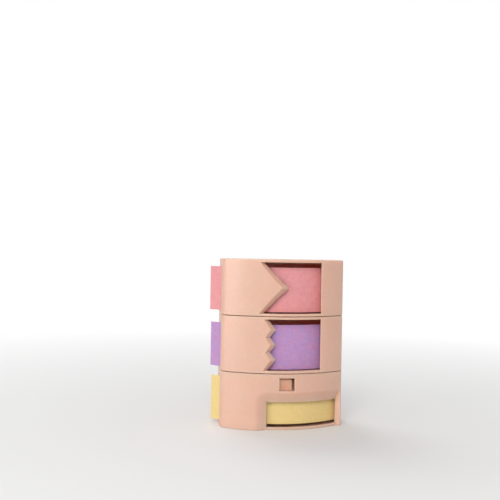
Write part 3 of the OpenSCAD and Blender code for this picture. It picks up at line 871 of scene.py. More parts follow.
@dataclass(frozen=True)
class Plan:
    """Plan of the body in millimetres: a bowed front, round noses, straight sides and a flat back."""

    half_w: float
    front_y: float
    shell_y: float
    back_y: float
    cover_gap: float
    seam: float = 0.3
    front_r: float = 34.0
    nose_r: float = 3.0
    back_r: float = 2.5
    wall: float = 1.8
    rim: float = 0.85
    plate: float = 0.5
    slot_r: float = 31.5
    tape_r: float = 30.9
    tape_t: float = 0.2
    nose_steps: int = 9

    @classmethod
    def from_frame(cls) -> "Plan":
        """Takes the overall sizes from the frame's boxes.

        Returns:
            The plan.
        """
        shell = node_box("rear_shell")
        cover = node_box("zigzag_cover")
        lower = node_box("slitter_cover")
        return cls(-shell[0, 0], cover[0, 1], shell[0, 1], shell[1, 1], cover[0, 2] - lower[1, 2])

    @property
    def bow_y(self) -> float:
        """Y of the upright axis that the front is bowed about."""
        return self.front_y + self.front_r

    @property
    def inner_r(self) -> float:
        """Radius of the covers' inside about the bow's axis."""
        return self.front_r - self.wall

    @property
    def side_x(self) -> float:
        """X of the inside of the covers' right wall."""
        return self.half_w - self.wall

    @property
    def cover_y(self) -> float:
        """Y of the covers' back edges."""
        return self.shell_y - self.seam

    @property
    def nose(self) -> np.ndarray:
        """Centre of the right nose."""
        x = self.half_w - self.nose_r
        return np.array([x, self.bow_y - math.sqrt((self.front_r - self.nose_r) ** 2 - x * x)])

    @property
    def hinge(self) -> np.ndarray:
        """X and Y of the hinge's axis."""
        return np.array([self.half_w - self.back_r, self.back_y - self.back_r])

    @property
    def nose_turn(self) -> float:
        """Angle in radians that a nose turns through between the side and the bow."""
        return math.atan2(self.bow_y - self.nose[1], self.nose[0])

    def tangent(self, radius: float) -> np.ndarray:
        """Where a circle about the bow's axis passes the right nose's joint with the bow."""
        spoke = np.array([math.cos(self.nose_turn), -math.sin(self.nose_turn)])
        return np.array([0.0, self.bow_y]) + radius * spoke

    def bow(self, x: np.ndarray, radius: np.ndarray | float) -> np.ndarray:
        """Plan places at X on circles about the bow's axis: y = bow_y - sqrt(r^2 - x^2)."""
        return np.stack([x, self.bow_y - np.sqrt(np.square(radius) - np.square(x))], axis=-1)

    def right_lead(self) -> tuple[np.ndarray, np.ndarray]:
        """Outer and inner plan lines from the bow round the right nose and along the side to the hinge.

        The last three columns are the covers' back edge, the notch that clears the shell's barrels,
        where the inner line stops short as on an arc about the hinge, and the barrel's middle.

        Returns:
            Both lines, as [column, xy].
        """
        turn = np.linspace(-self.nose_turn, 0, self.nose_steps + 1)
        arc = self.nose + self.nose_r * np.stack([np.cos(turn), np.sin(turn)], axis=-1)
        corner = self.bow(np.array(self.side_x), self.inner_r)
        bend = np.array([self.tangent(self.inner_r), corner, [self.side_x, self.nose[1]]])
        bent = along(bend, np.linspace(0, 1, self.nose_steps + 1))
        clear = self.back_r + self.seam
        lines = []
        for x, line in ((self.half_w, arc), (self.side_x, bent)):
            notch = self.hinge[1] - math.sqrt(clear**2 - (x - self.hinge[0]) ** 2)
            lines.append(np.vstack([line, [[x, self.cover_y], [x, notch], [x, self.hinge[1]]]]))
        return lines[0], lines[1]

    def left_lead(self) -> tuple[np.ndarray, np.ndarray]:
        """Outer and inner plan lines from the left back edge past the tape slot to the bow.

        The two lines are one in front of the slot, and part at the slot's front edge.

        Returns:
            Both lines, as [column, xy].
        """
        mirror = np.array([-1.0, 1.0])
        turn = np.linspace(0, -self.nose_turn, self.nose_steps + 1)
        arc = (self.nose + self.nose_r * np.stack([np.cos(turn), np.sin(turn)], axis=-1)) * mirror
        slot = self.bow(np.array(-self.half_w), self.slot_r)
        middle = (slot + arc[0]) / 2
        outer = np.vstack([[-self.half_w, self.cover_y], slot, middle, arc])
        bend = np.array([
            slot,
            self.bow(np.array(-self.side_x), self.slot_r),
            self.bow(np.array(-self.side_x), self.inner_r),
            self.tangent(self.inner_r) * mirror,
        ])
        inner = np.vstack([outer[:1], along(bend, np.linspace(0, 1, len(outer) - 1))])
        return outer, inner


@dataclass
class BowedCover(ABC):
    """One hinged cover: a bowed wall with a window, a roof, a floor, its right side and its barrel."""

    plan: Plan
    station: Station
    barrel_h: float = 11.4
    barrel_turns: int = 62
    pin_hole_r: float = 0.85
    tongue_x: float = -11.0
    tongue_w: float = 3.2
    tongue_drop: float = 1.9
    tongue_root: float = 2.2
    tongue_reach: float = 2.15
    sunk: float = 0.2
    edge_radius: float = 0.24
    nose_cells: int = 0

    @property
    def node(self) -> str:
        """Name of the cover's frame node."""
        return f"{self.station.value}_cover"

    @property
    def tape_node(self) -> str:
        """Name of the station's tape."""
        return "slit_tape" if self.station is Station.SLITTER else f"{self.station.value}_tape"

    @cached_property
    def base_z(self) -> float:
        """Height of the station's base."""
        order = [Station.SLITTER, Station.ZIGZAG, Station.RIBBON].index(self.station)
        return order * self.station_h

    @cached_property
    def station_h(self) -> float:
        """Height of a station."""
        return node_box("rear_shell")[1, 2] / len(Station)

    @property
    def sill(self) -> float:
        """Height of the window's sill above the station's base."""
        return self.plan.cover_gap / 2 + self.plan.rim

    @property
    def lintel(self) -> float:
        """Height of the window's lintel above the station's base."""
        return self.station_h - self.sill

    @property
    def floor(self) -> float:
        """Height of the upper side of the floor plate above the station's base."""
        return self.plan.cover_gap / 2 + self.plan.plate

    @property
    def barrel_ends(self) -> tuple[float, float]:
        """Heights of the hinge barrel's ends above the station's base."""
        low = (self.station_h - self.barrel_h) / 2
        return low, low + self.barrel_h

    @abstractmethod
    def levels(self) -> np.ndarray:
        """Heights of the rows from the sill to the lintel, above the station's base."""

    def leads(self, rows: int) -> list[list[np.ndarray]]:
        """Outer and inner lines of the left and the right lead, each as [row, column, xy]."""
        leads = (self.plan.left_lead(), self.plan.right_lead())
        return [[np.repeat(line[None], rows, axis=0) for line in lead] for lead in leads]

    @abstractmethod
    def bow_skins(self, z: np.ndarray) -> tuple[np.ndarray, np.ndarray]:
        """Plan places of the bow's columns on both skins, as [row, column, xy], without the nose joints."""

    @abstractmethod
    def windows(self, z: np.ndarray, cells: int) -> np.ndarray:
        """Mask of the open cells among the bow's cells and the right nose's first ones, as [row, cell]."""

    def fittings(self, patches: Patchwork) -> None:
        """Adds what else is moulded on the cover's inside."""

    def build(self) -> bpy.types.Object:
        """Builds the cover as one closed mesh.

        Columns run along the plan from the left back edge round to the hinge, and rows run up the wall.
        The outer skin has all rows, the inner one those between floor and roof, and the plates join both
        to a straight back edge.

        Returns:
            The cover, with rounded edges.
        """
        box = node_box(self.node) - [0, 0, self.base_z]
        middle = self.levels()
        z = np.concatenate([[box[0, 2], self.floor], middle, [self.station_h - self.floor, box[1, 2]]])
        held = np.clip(z, middle[0], middle[-1])
        left, right = self.leads(len(z))
        self.carve(right, held)
        lines = zip(left, self.bow_skins(held), right)
        outer, inner = (raised(np.concatenate(line, axis=1), z) for line in lines)
        opened = self.open_cells(z, outer.shape[1], left[0].shape[1], right[0].shape[1])
        plates = outer.shape[1] - 2
        back = self.back_line(outer[-1, :plates], inner[-1, :plates])
        patches = Patchwork()
        patches.grid(outer, ~opened)
        patches.grid(inner[1:-1], ~opened[1:-1])
        patches.wall(outer, inner, opened, (0, 1))
        for skin, row in ((outer, 0), (inner, 1), (inner, -2), (outer, -1)):
            patches.strip(skin[row, :plates], raised(back, z[[row]])[0])
        for low, high in ((0, 1), (-2, -1)):
            patches.grid(raised(back, z[[low, high]]))
        self.join_side(patches, outer, inner, plates)
        self.barrel(patches)
        self.tongue(patches)
        self.fittings(patches)
        patches.shift(self.base_z * UP)
        piece = patches.build(f"{self.node}_moulding")
        soften(piece, self.edge_radius)
        return piece

    def carve(self, right: list[np.ndarray], z: np.ndarray) -> None:
        """Changes the right lead's lines where the cover needs it."""

    def join_side(self, patches: Patchwork, outer: np.ndarray, inner: np.ndarray, plates: int) -> None:
        """Closes the right wall's top and bottom, and its inside beside the plates, as far as the notch.

        Args:
            patches: The cover's patches, which are added to.
            outer: Outer skin, as [row, column, xyz].
            inner: Inner skin, with the same cells.
            plates: Number of columns along the plates.
        """
        run = slice(plates - 1, plates + 1)
        for row in (0, -1):
            patches.strip(outer[row, run], inner[row, run])
        for low, high in ((0, 1), (-2, -1)):
            patches.strip(inner[low, run], inner[high, run])

    def open_cells(self, z: np.ndarray, columns: int, left: int, right: int) -> np.ndarray:
        """Mask of all open cells: the tape slot, the windows, and the notches above and below the barrel.

        Args:
            z: Heights of the rows.
            columns: Number of all columns.
            left: Number of the left lead's columns.
            right: Number of the right lead's columns.

        Returns:
            Mask of the open cells, as [row, cell].
        """
        opened = np.zeros((len(z) - 1, columns - 1), dtype=bool)
        opened[1:-1, 0] = True
        cells = columns - left - right + 1 + self.nose_cells
        opened[:, left - 1 : left - 1 + cells] = self.windows(z, cells)
        low, high = self.barrel_ends
        middle = (z[:-1] + z[1:]) / 2
        opened[:, -1] = (middle < low) | (middle > high)
        return opened

    def back_line(self, outer: np.ndarray, inner: np.ndarray) -> np.ndarray:
        """Plan places along the straight back edge, spaced as the outline's own length runs.

        Args:
            outer: Outer line of a plate, as [column, xyz].
            inner: Inner line, with the same columns.

        Returns:
            The places, as [column, xy].
        """
        lengths = np.linalg.norm(np.diff(outer[:, :2], axis=0), axis=1)
        share = np.concatenate([[0.0], np.cumsum(lengths)]) / lengths.sum()
        return outer[0, :2] + share[:, None] * (inner[-1, :2] - outer[0, :2])

    def barrel(self, patches: Patchwork) -> None:
        """Adds the hinge barrel with its bore: a rectangle of radius and height turned about the hinge.

        No step of the turn points along X, where a corner would weld to the wall's.

        Args:
            patches: The cover's patches, which are added to.
        """
        low, high = self.barrel_ends
        hole, rim = self.pin_hole_r, self.plan.back_r
        profile = np.array([[hole, low], [rim, low], [rim, high], [hole, high], [hole, low]])
        foot = np.array([*self.plan.hinge, 0.0])
        patches.turned(profile, self.barrel_turns, foot, UP)

    def tongue(self, patches: Patchwork) -> None:
        """Adds the closing tongue under the roof: an angled strap with its root sunk in the roof.

        Args:
            patches: The cover's patches, which are added to.
        """
        under = node_box(self.tape_node)[1, 2] - self.base_z + TAPE_CLEARANCE
        y = self.plan.cover_y + np.array([-self.tongue_root, -self.plan.seam, self.tongue_reach])
        top = self.station_h - self.tongue_drop if self.station is Station.RIBBON else self.lintel
        z = np.array([under, top, self.station_h - self.floor + self.sunk])
        face = np.stack(np.broadcast_arrays(self.tongue_x, y[None, :], z[:, None]), axis=-1)
        patches.sheet(face, face + [self.tongue_w, 0, 0], np.array([[False, False], [False, True]]))


def ribbon_edge(sill: float, lintel: float) -> np.ndarray:
    """Cutting edge of the ribbon window: one point, as X and height."""
    tip, reach = 1.0, 9.5
    return np.array([[tip - reach, sill], [tip, (sill + lintel) / 2], [tip - reach, lintel]])


def zigzag_edge(sill: float, lintel: float) -> np.ndarray:
    """Cutting edge of the zigzag window: a row of teeth whose outer flanks run on, as X and height.

    Args:
        sill: Height of the window's sill.
        lintel: Height of its lintel.

    Returns:
        The edge's corners, as [corner, 2].
    """
    tip, depth, pitch, teeth = -3.3, 2.3, 5.05, 3
    step = np.arange(2 * teeth - 1)
    first = (sill + lintel - (teeth - 1) * pitch) / 2
    end = tip - depth * (first - sill) / (pitch / 2)
    row = np.stack([tip - depth * (step % 2), first + step * pitch / 2], axis=-1)
    return np.vstack([[end, sill], row, [end, lintel]])


@dataclass
class EdgedCover(BowedCover):
    """A cover whose window has a bevelled cutting edge at its left and a plain jamb at its right."""

    outline: Callable[[float, float], np.ndarray] = ribbon_edge
    bevel: float = 2.6
    jamb_x: float = 12.0
    jamb_draft: float = 0.6
    left_steps: int = 12
    window_steps: int = 8
    jamb_steps: int = 6
    rows_a_leg: int = 6
    rounds: int = 40

    @cached_property
    def edge(self) -> np.ndarray:
        """Corners of the cutting edge, as X and height above the station's base."""
        return self.outline(self.sill, self.lintel)

    def levels(self) -> np.ndarray:
        """Rows through every corner of the cutting edge, with equal steps between, and the barrel's ends.

        Returns:
            Their heights above the station's base.
        """
        heights = self.edge[:, 1]
        rows = stops(heights[0], *[(height, self.rows_a_leg) for height in heights[1:]])
        return np.unique(np.round(np.append(rows, self.barrel_ends), 6))

    def slanted(self, start: np.ndarray, start_y: float, run: float, radius: float) -> np.ndarray:
        """X of a slanted side of the window on a circle about the bow's axis.

        The side moves along X by its run over the wall, so x = s + (y(x) - y_start) * run / wall, where s is
        its X at y_start and y(x) the circle. A few rounds of putting x back in settle it.

        Args:
            start: X of the side at start_y, for each row.
            start_y: Y where the side has that X.
            run: Distance that it moves along X over the thickness of the wall.
            radius: Radius of the circle.

        Returns:
            The side's X on the circle, for each row.
        """
        x = start
        for _ in range(self.rounds):
            x = start + (self.plan.bow(x, radius)[..., 1] - start_y) * run / self.plan.wall
        return x

    def bow_skins(self, z: np.ndarray) -> tuple[np.ndarray, np.ndarray]:
        """Columns that follow the cutting edge on the left, and stand upright at the jamb and beyond.

        Args:
            z: Heights of the rows.

        Returns:
            Plan places on the outer and on the inner skin, as [row, column, xy].
        """
        skins = []
        for radius in (self.plan.front_r, self.plan.inner_r):
            end = self.plan.tangent(radius)[0]
            cut = np.interp(z, self.edge[:, 1], self.edge[:, 0])
            edge = self.slanted(cut, self.plan.front_y + self.plan.wall, self.bevel, radius)
            level = np.ones_like(edge)
            jamb = self.slanted(self.jamb_x * level, self.jamb_y, self.jamb_draft, radius)
            legs = [
                np.linspace(-end * level, edge, self.left_steps + 1, axis=-1)[:, 1:],
                np.linspace(edge, jamb, self.window_steps + 1, axis=-1)[:, 1:],
                np.linspace(jamb, end * level, self.jamb_steps + 1, axis=-1)[:, 1:-1],
            ]
            skins.append(self.plan.bow(np.concatenate(legs, axis=1), radius))
        return skins[0], skins[1]

    @property
    def jamb_y(self) -> float:
        """Y of the face at the jamb."""
        return float(self.plan.bow(np.array(self.jamb_x), self.plan.front_r)[1])

    def windows(self, z: np.ndarray, cells: int) -> np.ndarray:
        """The window lies between the edge's column and the jamb's, from the sill to the lintel.

        Args:
            z: Heights of the rows.
            cells: Number of cells in a row.

        Returns:
            Mask of the open cells, as [row, cell].
        """
        opened = np.zeros((len(z) - 1, cells), dtype=bool)
        opened[2:-2, self.left_steps : self.left_steps + self.window_steps] = True
        return opened


@dataclass
class SlitterCover(BowedCover):
    """The lowest cover: a finger dip whose sides slope in to the strip, and the window of the hold button."""

    nose_cells: int = 1
    dip_x: float = -5.9
    dip_end: float = 18.3
    dip_slope: float = 3.6
    dip_depth: float = 1.65
    dip_ease: float = 0.25
    lip: float = 0.45
    corner_power: float = 2.5
    button_x0: float = -2.0
    button_x1: float = 3.2
    button_z0: float = 13.25
    button_z1: float = 17.55
    foot_margin: float = 0.3
    foot_w: float = 3.6
    foot_t: float = 0.6
    foot_columns: int = 4

    @cached_property
    def dip_top(self) -> float:
        """Height of the opening's upper edge: just above the narrow strip."""
        return node_box(self.tape_node)[0, 2] + NARROW_W + TAPE_CLEARANCE

    def levels(self) -> np.ndarray:
        """Rows through the sill, the dip's top, its slope and the button's window."""
        return stops(
            self.sill,
            (self.barrel_ends[0], 2),
            (self.dip_top, 5),
            (self.button_z0, 9),
            (self.barrel_ends[1], 2),
            (self.button_z1, 3),
            (self.lintel, 1),
        )

    def column_x(self, end: float) -> np.ndarray:
        """X of the bow's columns, without the nose joints at -end and end."""
        face_left = self.dip_x - self.dip_slope
        return stops(
            -end,
            (face_left, 8),
            (self.dip_x, 9),
            (self.button_x0, 3),
            (self.button_x1, 4),
            (self.dip_end, 12),
            (end, 1),
        )[1:-1]

    def dip(self, x: np.ndarray, z: np.ndarray) -> np.ndarray:
        """Depth of the finger dip below the bow.

        With d = (dx^p + dz^p)^(1/p), the distance left of and above the opening, the depth falls from
        its full value at d = 0 to nothing at d = slope, straight with a share of an S-shaped fall.

        Args:
            x: X of the places.
            z: Their heights.

        Returns:
            The depth at each place.
        """
        left = np.maximum(self.dip_x - x, 0)
        above = np.maximum(z - self.dip_top, 0)
        away = np.power(left**self.corner_power + above**self.corner_power, 1 / self.corner_power)
        fall = np.clip(1 - away / self.dip_slope, 0, 1)
        eased = fall * fall * (3 - 2 * fall)
        return self.dip_depth * (fall + self.dip_ease * (eased - fall))

    def bulge(self, depth: np.ndarray) -> np.ndarray:
        """How far the inner skin gives way below a depth of the dip, so that a lip is left."""
        return np.maximum(depth - (self.plan.wall - self.lip), 0)

    def bow_skins(self, z: np.ndarray) -> tuple[np.ndarray, np.ndarray]:
        """Upright columns, with both skins sunk by the finger dip.

        Args:
            z: Heights of the rows.

        Returns:
            Plan places on the outer and on the inner skin, as [row, column, xy].
        """
        outer_x, inner_x = (
            self.column_x(self.plan.tangent(radius)[0]) for radius in (self.plan.front_r, self.plan.inner_r)
        )
        depth = self.dip(outer_x[None, :], z[:, None])
        outer_x, inner_x = (np.broadcast_to(x, depth.shape) for x in (outer_x, inner_x))
        outer = self.plan.bow(outer_x, self.plan.front_r - depth)
        return outer, self.plan.bow(inner_x, self.plan.inner_r - self.bulge(depth))

    def carve(self, right: list[np.ndarray], z: np.ndarray) -> None:
        """Sinks the first columns of the right nose along the bow's spokes, as deep as the dip is there.

        The dip's right side then stands between the last sunk column and the next, square to the bow.

        Args:
            right: Outer and inner line of the right lead, which are changed.
            z: Heights of the rows.
        """
        depth = self.dip(np.array(self.dip_end), z)
        for line, sunk in zip(right, (depth, self.bulge(depth))):
            nose = line[:, : self.nose_cells + 1]
            spoke = [0.0, self.plan.bow_y] - nose
            nose += sunk[:, None, None] * spoke / np.linalg.norm(spoke, axis=-1, keepdims=True)

    def windows(self, z: np.ndarray, cells: int) -> np.ndarray:
        """The strip's opening, which runs on to the nose, and the button's window, by the cells' middles.

        Args:
            z: Heights of the rows.
            cells: Number of cells in a row; not used.

        Returns:
            Mask of the open cells, as [row, cell].
        """
        end = self.plan.tangent(self.plan.front_r)[0]
        x = np.concatenate([[-end], self.column_x(end), end + np.arange(self.nose_cells + 1)])
        across = (x[1:] + x[:-1]) / 2
        up = ((z[1:] + z[:-1]) / 2)[:, None]
        strip = (across > self.dip_x) & (up > self.sill) & (up < self.dip_top)
        button = (across > self.button_x0) & (across < self.button_x1)
        return strip | (button & (up > self.button_z0) & (up < self.button_z1))

    def fittings(self, patches: Patchwork) -> None:
        """Adds the foot of the button's spring: a bowed block sunk in the wall.

        Args:
            patches: The cover's patches, which are added to.
        """
        spring = node_box("button_spring") - [0, 0, self.base_z]
        left = spring[0, 0] - self.foot_margin
        x = np.linspace(left, left + self.foot_w, self.foot_columns + 1)
        z = np.array([spring[0, 2] - self.foot_margin, spring[1, 2] + self.foot_margin])
        skins = [
            raised(self.plan.bow(x, radius), z)
            for radius in (self.plan.inner_r + self.sunk, self.plan.inner_r - self.foot_t)
        ]
        patches.sheet(*skins)


@dataclass
class Tape:
    """A strip of paper tape on its bed, bowed as the front is."""

    plan: Plan
    node: str
    columns: int = 72
    rows: int = 8

    @cached_property
    def box(self) -> np.ndarray:
        """Box of the tape's frame node."""
        return node_box(self.node)

    def column_x(self) -> np.ndarray:
        """X of the columns on the tape's face, equally far apart round the bow."""
        ends = np.arcsin(self.box[:, 0] / self.plan.tape_r)
        return self.plan.tape_r * np.sin(np.linspace(*ends, self.columns + 1))

    def levels(self) -> np.ndarray:
        """Heights of the rows."""
        return np.linspace(self.box[0, 2], self.box[1, 2], self.rows + 1)

    def cut_away(self, x: np.ndarray, z: np.ndarray) -> np.ndarray:
        """Mask of the cells that the cutter has taken away, from the middles of the cells."""
        return np.zeros((len(z), len(x)), dtype=bool)

    def build(self) -> bpy.types.Object:
        """Builds the strip as a closed sheet, with a UV map in metres that runs along it.

        A place at angle a = asin(x / R) on the face lies at the same angle on the back, so the ends stand
        square to the strip. The map's U is R a and its V is the height.

        Returns:
            The strip.
        """
        x = self.column_x()
        z = self.levels()
        radii = (self.plan.tape_r, self.plan.tape_r - self.plan.tape_t)
        skins = [raised(self.plan.bow(x * radius / self.plan.tape_r, radius), z) for radius in radii]
        patches = Patchwork()
        patches.sheet(*skins, self.cut_away((x[1:] + x[:-1]) / 2, (z[1:] + z[:-1]) / 2))
        piece = patches.build_crisp(f"{self.node}_paper")
        self.lay_uv(piece.data)
        return piece

    def lay_uv(self, mesh: bpy.types.Mesh) -> None:
        """Lays the map along the strip.

        Args:
            mesh: The strip's mesh.
        """
        x, y, z = read(mesh.vertices, "co", np.float32, 3).T
        run = self.plan.tape_r * MM * np.arctan2(x, self.plan.bow_y * MM - y)
        corner = read(mesh.loops, "vertex_index", np.int32)
        layer = mesh.uv_layers.new(name=UV_NAME)
        layer.uv.foreach_set("vector", np.stack([run, z], axis=-1)[corner].ravel())


@dataclass
class SlitTape(Tape):
    """The tape of the slitter: whole as far as the blade, then its lower strip alone."""

    slit_x: float = -9.95
    parted_x: float = -7.0
    slit_w: float = 0.55

    @property
    def strip_z(self) -> float:
        """Height of the narrow strip's upper edge."""
        return self.box[0, 2] + NARROW_W

    def column_x(self) -> np.ndarray:
        """Columns through the start of the slit and the end of the upper part."""
        return stops(self.box[0, 0], (self.slit_x, 24), (self.parted_x, 5), (self.box[1, 0], 40))

    def levels(self) -> np.ndarray:
        """Rows through both sides of the slit."""
        return stops(self.box[0, 2], (self.strip_z, 5), (self.strip_z + self.slit_w, 1), (self.box[1, 2], 5))

    def cut_away(self, x: np.ndarray, z: np.ndarray) -> np.ndarray:
        """The slit that the blade opens, and the upper part beyond it.

        Args:
            x: X of the cells' middles.
            z: Their heights.

        Returns:
            Mask of the cells that are gone, as [row, cell].
        """
        upper = z[:, None] > self.strip_z
        slit = upper & (z[:, None] < self.strip_z + self.slit_w) & (x > self.slit_x)
        return slit | (upper & (x > self.parted_x))


@dataclass
class EdgeBlade:
    """A steel blade behind a cutting edge, bent to the bow and ground to its edge."""

    cover: EdgedCover
    ground: float = 0.8
    keen: float = 0.03
    columns: int = 12

    @property
    def node(self) -> str:
        """Name of the blade's frame node."""
        return f"{self.cover.station.value}_blade"

    def build(self) -> bpy.types.Object:
        """Builds the blade as a closed sheet.

        Its columns run from the straight left side to the grind's start and then to the edge, where the
        outer skin falls to just above the inner one.

        Returns:
            The blade.
        """
        cover = self.cover
        box = node_box(self.node) - [0, 0, cover.base_z]
        z = np.unique(np.clip(cover.levels(), box[0, 2], box[1, 2]))
        cut = np.interp(z, cover.edge[:, 1], cover.edge[:, 0]) + box[1, 0] - cover.edge[:, 0].max()
        flat = np.linspace(np.full_like(cut, box[0, 0]), cut - self.ground, self.columns, axis=-1)
        x = np.concatenate([flat, cut[:, None]], axis=1)
        low = cover.plan.inner_r - SEAT_GAP - BLADE_T
        rise = np.concatenate([np.full(self.columns, BLADE_T), [self.keen]])
        height = np.broadcast_to(z[:, None, None], (*x.shape, 1)) + cover.base_z
        skins = [np.concatenate([cover.plan.bow(x, radius), height], axis=-1) for radius in (low + rise, low)]
        patches = Patchwork()
        patches.sheet(*skins)
        return patches.build_crisp(f"{self.node}_steel")


@dataclass
class LeafSpring:
    """The leaf that returns the hold button: a bowed strip, held at its left end and bent by the button."""

    plan: Plan
    node: str = "button_spring"
    button: str = "hold_button"
    behind: float = 0.65
    thickness: float = 0.2
    foot_w: float = 3.0
    columns: int = 56

    @cached_property
    def box(self) -> np.ndarray:
        """Box of the leaf's frame node."""
        return node_box(self.node)

    def build(self) -> bpy.types.Object:
        """Builds the leaf as a closed sheet, with both skins at equal angles about the bow: x = r sin(a).

        Returns:
            The leaf.
        """
        outer = self.plan.inner_r - self.behind
        angle = np.linspace(*np.arcsin(self.box[:, 0] / outer), self.columns + 1)
        radii = (outer, outer - self.thickness)
        skins = [raised(self.plan.bow(radius * np.sin(angle), radius), self.box[:, 2]) for radius in radii]
        patches = Patchwork()
        patches.sheet(*skins)
        return patches.build_crisp(f"{self.node}_steel")

    def bend(self) -> Bend:
        """Works out the bend that would keep the leaf with the cover along its foot, and with the button from
        the button's edge on.

        Returns:
            The bend, with its places in metres.
        """
        ends = (self.box[0, 0] + self.foot_w, node_box(self.button)[0, 0])
        start, end = ((x * MM, *self.box[0, 1:] * MM) for x in ends)
        return Bend(frame["nodes"][self.button]["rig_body"], start, end)


@dataclass
class Fastenings:
    """Small turned steel pieces: the blade rivets, the bed screws and the hinge pin."""

    plan: Plan
    turns: int = 72
    rivet_x: float = -11.0
    rivet_r: float = 0.6
    rivet_head_r: float = 1.1
    rivet_head_t: float = 0.3
    rivet_length: float = 1.3
    rivet_rings: int = 8
    screw_places: tuple[float, float] = (-14.0, 10.0)
    screw_r: float = 0.8
    head_r: float = 1.9
    head_t: float = 1.4
    head_crown: float = 0.45
    head_sink: float = 0.6
    head_flank: float = 0.8
    head_rings: int = 22
    shank: float = 7.0
    cross_half_w: float = 0.27
    cross_reach: float = 1.2
    cross_depth: float = 0.75
    cross_draft: float = 0.14
    cross_rise: float = 0.45
    pin_chamfer: float = 0.2

    def dome(self, radius: float, low: float, crown: float, rings: int) -> np.ndarray:
        """Profile of a head's crown from its rim to its axis: h = low + crown (1 - (r / R)^3)."""
        r = np.linspace(radius, 0, rings + 1)
        return np.stack([r, low + crown * (1 - (r / radius) ** 3)], axis=-1)

    def rivets(self, station: Station) -> bpy.types.Object:
        """Two rivets inside a cover, with domed heads inwards, on spokes of the bow's circle.

        Args:
            station: The cover's station.

        Returns:
            The rivets, as one piece.
        """
        node = f"{station.value}_blade_rivets"
        box = node_box(node)
        blade_r = self.plan.inner_r - SEAT_GAP - BLADE_T
        angle = math.asin(self.rivet_x / blade_r)
        inward = np.array([-math.sin(angle), math.cos(angle), 0.0])
        foot = np.array([0.0, self.plan.bow_y, 0.0]) - (blade_r - SEAT_GAP) * inward
        shank = np.array([
            [0, -self.rivet_length],
            [self.rivet_r, -self.rivet_length],
            [self.rivet_r, 0],
            [self.rivet_head_r, 0],
        ])
        rise = self.rivet_head_t / 2
        profile = np.concatenate([shank, self.dome(self.rivet_head_r, rise, rise, self.rivet_rings)])
        patches = Patchwork()
        for z in (box[0, 2] + self.rivet_head_r, box[1, 2] - self.rivet_head_r):
            patches.turned(profile, self.turns, foot + [0, 0, z], inward)
        return patches.build_crisp(f"{node}_steel")

    def cross(self, radius: np.ndarray, angle: np.ndarray) -> np.ndarray:
        """Depth of a cross recess at polar places.

        With s the smaller and l the larger of |x| and |y|, an arm is where s is below its half width and l
        below its reach. It is deepest at the middle, and its sides fall over a short draft.

        Args:
            radius: Radii of the places.
            angle: Their angles in radians.

        Returns:
            The depth at each place.
        """
        places = np.sort(np.abs([radius * np.cos(angle), radius * np.sin(angle)]), axis=0)
        side = np.clip((self.cross_half_w - places[0]) / self.cross_draft + 0.5, 0, 1)
        end = np.clip((self.cross_reach - places[1]) / self.cross_draft + 0.5, 0, 1)
        return self.cross_depth * side * end * (1 - self.cross_rise * places[1] / self.cross_reach)

    def screws(self) -> bpy.types.Object:
        """The six bed screws: pan heads with cross recesses, sunk in the back of the shell.

        Returns:
            The screws, as one piece.
        """
        flank = self.head_t - self.head_crown
        shank = np.array([
            [0, -self.shank],
            [self.screw_r, -self.shank + self.screw_r],
            [self.screw_r, 0],
            [self.head_r, 0],
            [self.head_r, flank * self.head_flank],
        ])
        crown = self.dome(self.head_r, flank, self.head_crown, self.head_rings)
        profile = np.concatenate([shank, crown])
        angle = np.linspace(0, 2 * np.pi, self.turns + 1)[:, None]
        lines = np.broadcast_to(profile, (self.turns + 1, *profile.shape)).copy()
        lines[:, len(shank) :, 1] -= self.cross(crown[None, :, 0], angle)
        top = node_box("rear_shell")[1, 2]
        out = np.array([0.0, 1.0, 0.0])
        patches = Patchwork()
        for x in self.screw_places:
            for z in (np.arange(len(Station)) + 0.5) * top / len(Station):
                seat = np.array([x, self.plan.back_y - self.head_sink - self.head_t, z])
                patches.turned(lines, self.turns, seat, out)
        return patches.build_crisp("bed_screws_steel")

    def pin(self) -> bpy.types.Object:
        """The hinge pin, with chamfered ends.

        Returns:
            The pin.
        """
        box = node_box("hinge_pin")
        radius = (box[1, 0] - box[0, 0]) / 2
        blunt = radius - self.pin_chamfer
        low, high = box[:, 2]
        profile = np.array([
            [0, low],
            [blunt, low],
            [radius, low + self.pin_chamfer],
            [radius, high - self.pin_chamfer],
            [blunt, high],
            [0, high],
        ])
        patches = Patchwork()
        patches.turned(profile, self.turns, np.array([*self.plan.hinge, 0.0]), UP)
        return patches.build_crisp("hinge_pin_steel")


# Stage


@dataclass(frozen=True)
class Lamp:
    """A square soft lamp, aimed at the object's middle."""

    name: str
    azimuth: float
    elevation: float
    distance: float
    size: float
    power: float

    def build(self, target: np.ndarray) -> None:
        """Places the lamp by its azimuth from the front, to the right, and its elevation, in degrees.

        Args:
            target: The place that it is aimed at, in metres.
        """
        around, up = math.radians(self.azimuth), math.radians(self.elevation)
        back = np.array([math.sin(around) * math.cos(up), -math.cos(around) * math.cos(up), math.sin(up)])
        light = bpy.data.lights.new(self.name, "AREA")
        light.shape = "SQUARE"
        light.size = self.size
        light.energy = self.power
        lamp = bpy.data.objects.new(self.name, light)
        lamp.matrix_world = facing(target + back * self.distance, back)
        bpy.context.scene.collection.objects.link(lamp)


def facing(place: np.ndarray, back: np.ndarray, roll: float = 0.0) -> Matrix:
    """Matrix of a lamp or camera that looks against a level or slanted direction.

    Args:
        place: Where it stands, in metres.
        back: Direction from the target to it, of length 1.
        roll: Turn about the view in radians; a positive one turns the picture clockwise.

    Returns:
        The matrix in the frame.
    """
    right = np.cross(UP, back)
    right /= np.linalg.norm(right)
    up = np.cross(back, right)
    turned_right = math.cos(roll) * right + math.sin(roll) * up
    turned_up = math.cos(roll) * up - math.sin(roll) * right
    matrix = np.eye(4)
    matrix[:3] = np.stack([turned_right, turned_up, back, place], axis=1)
    return Matrix(matrix.tolist())


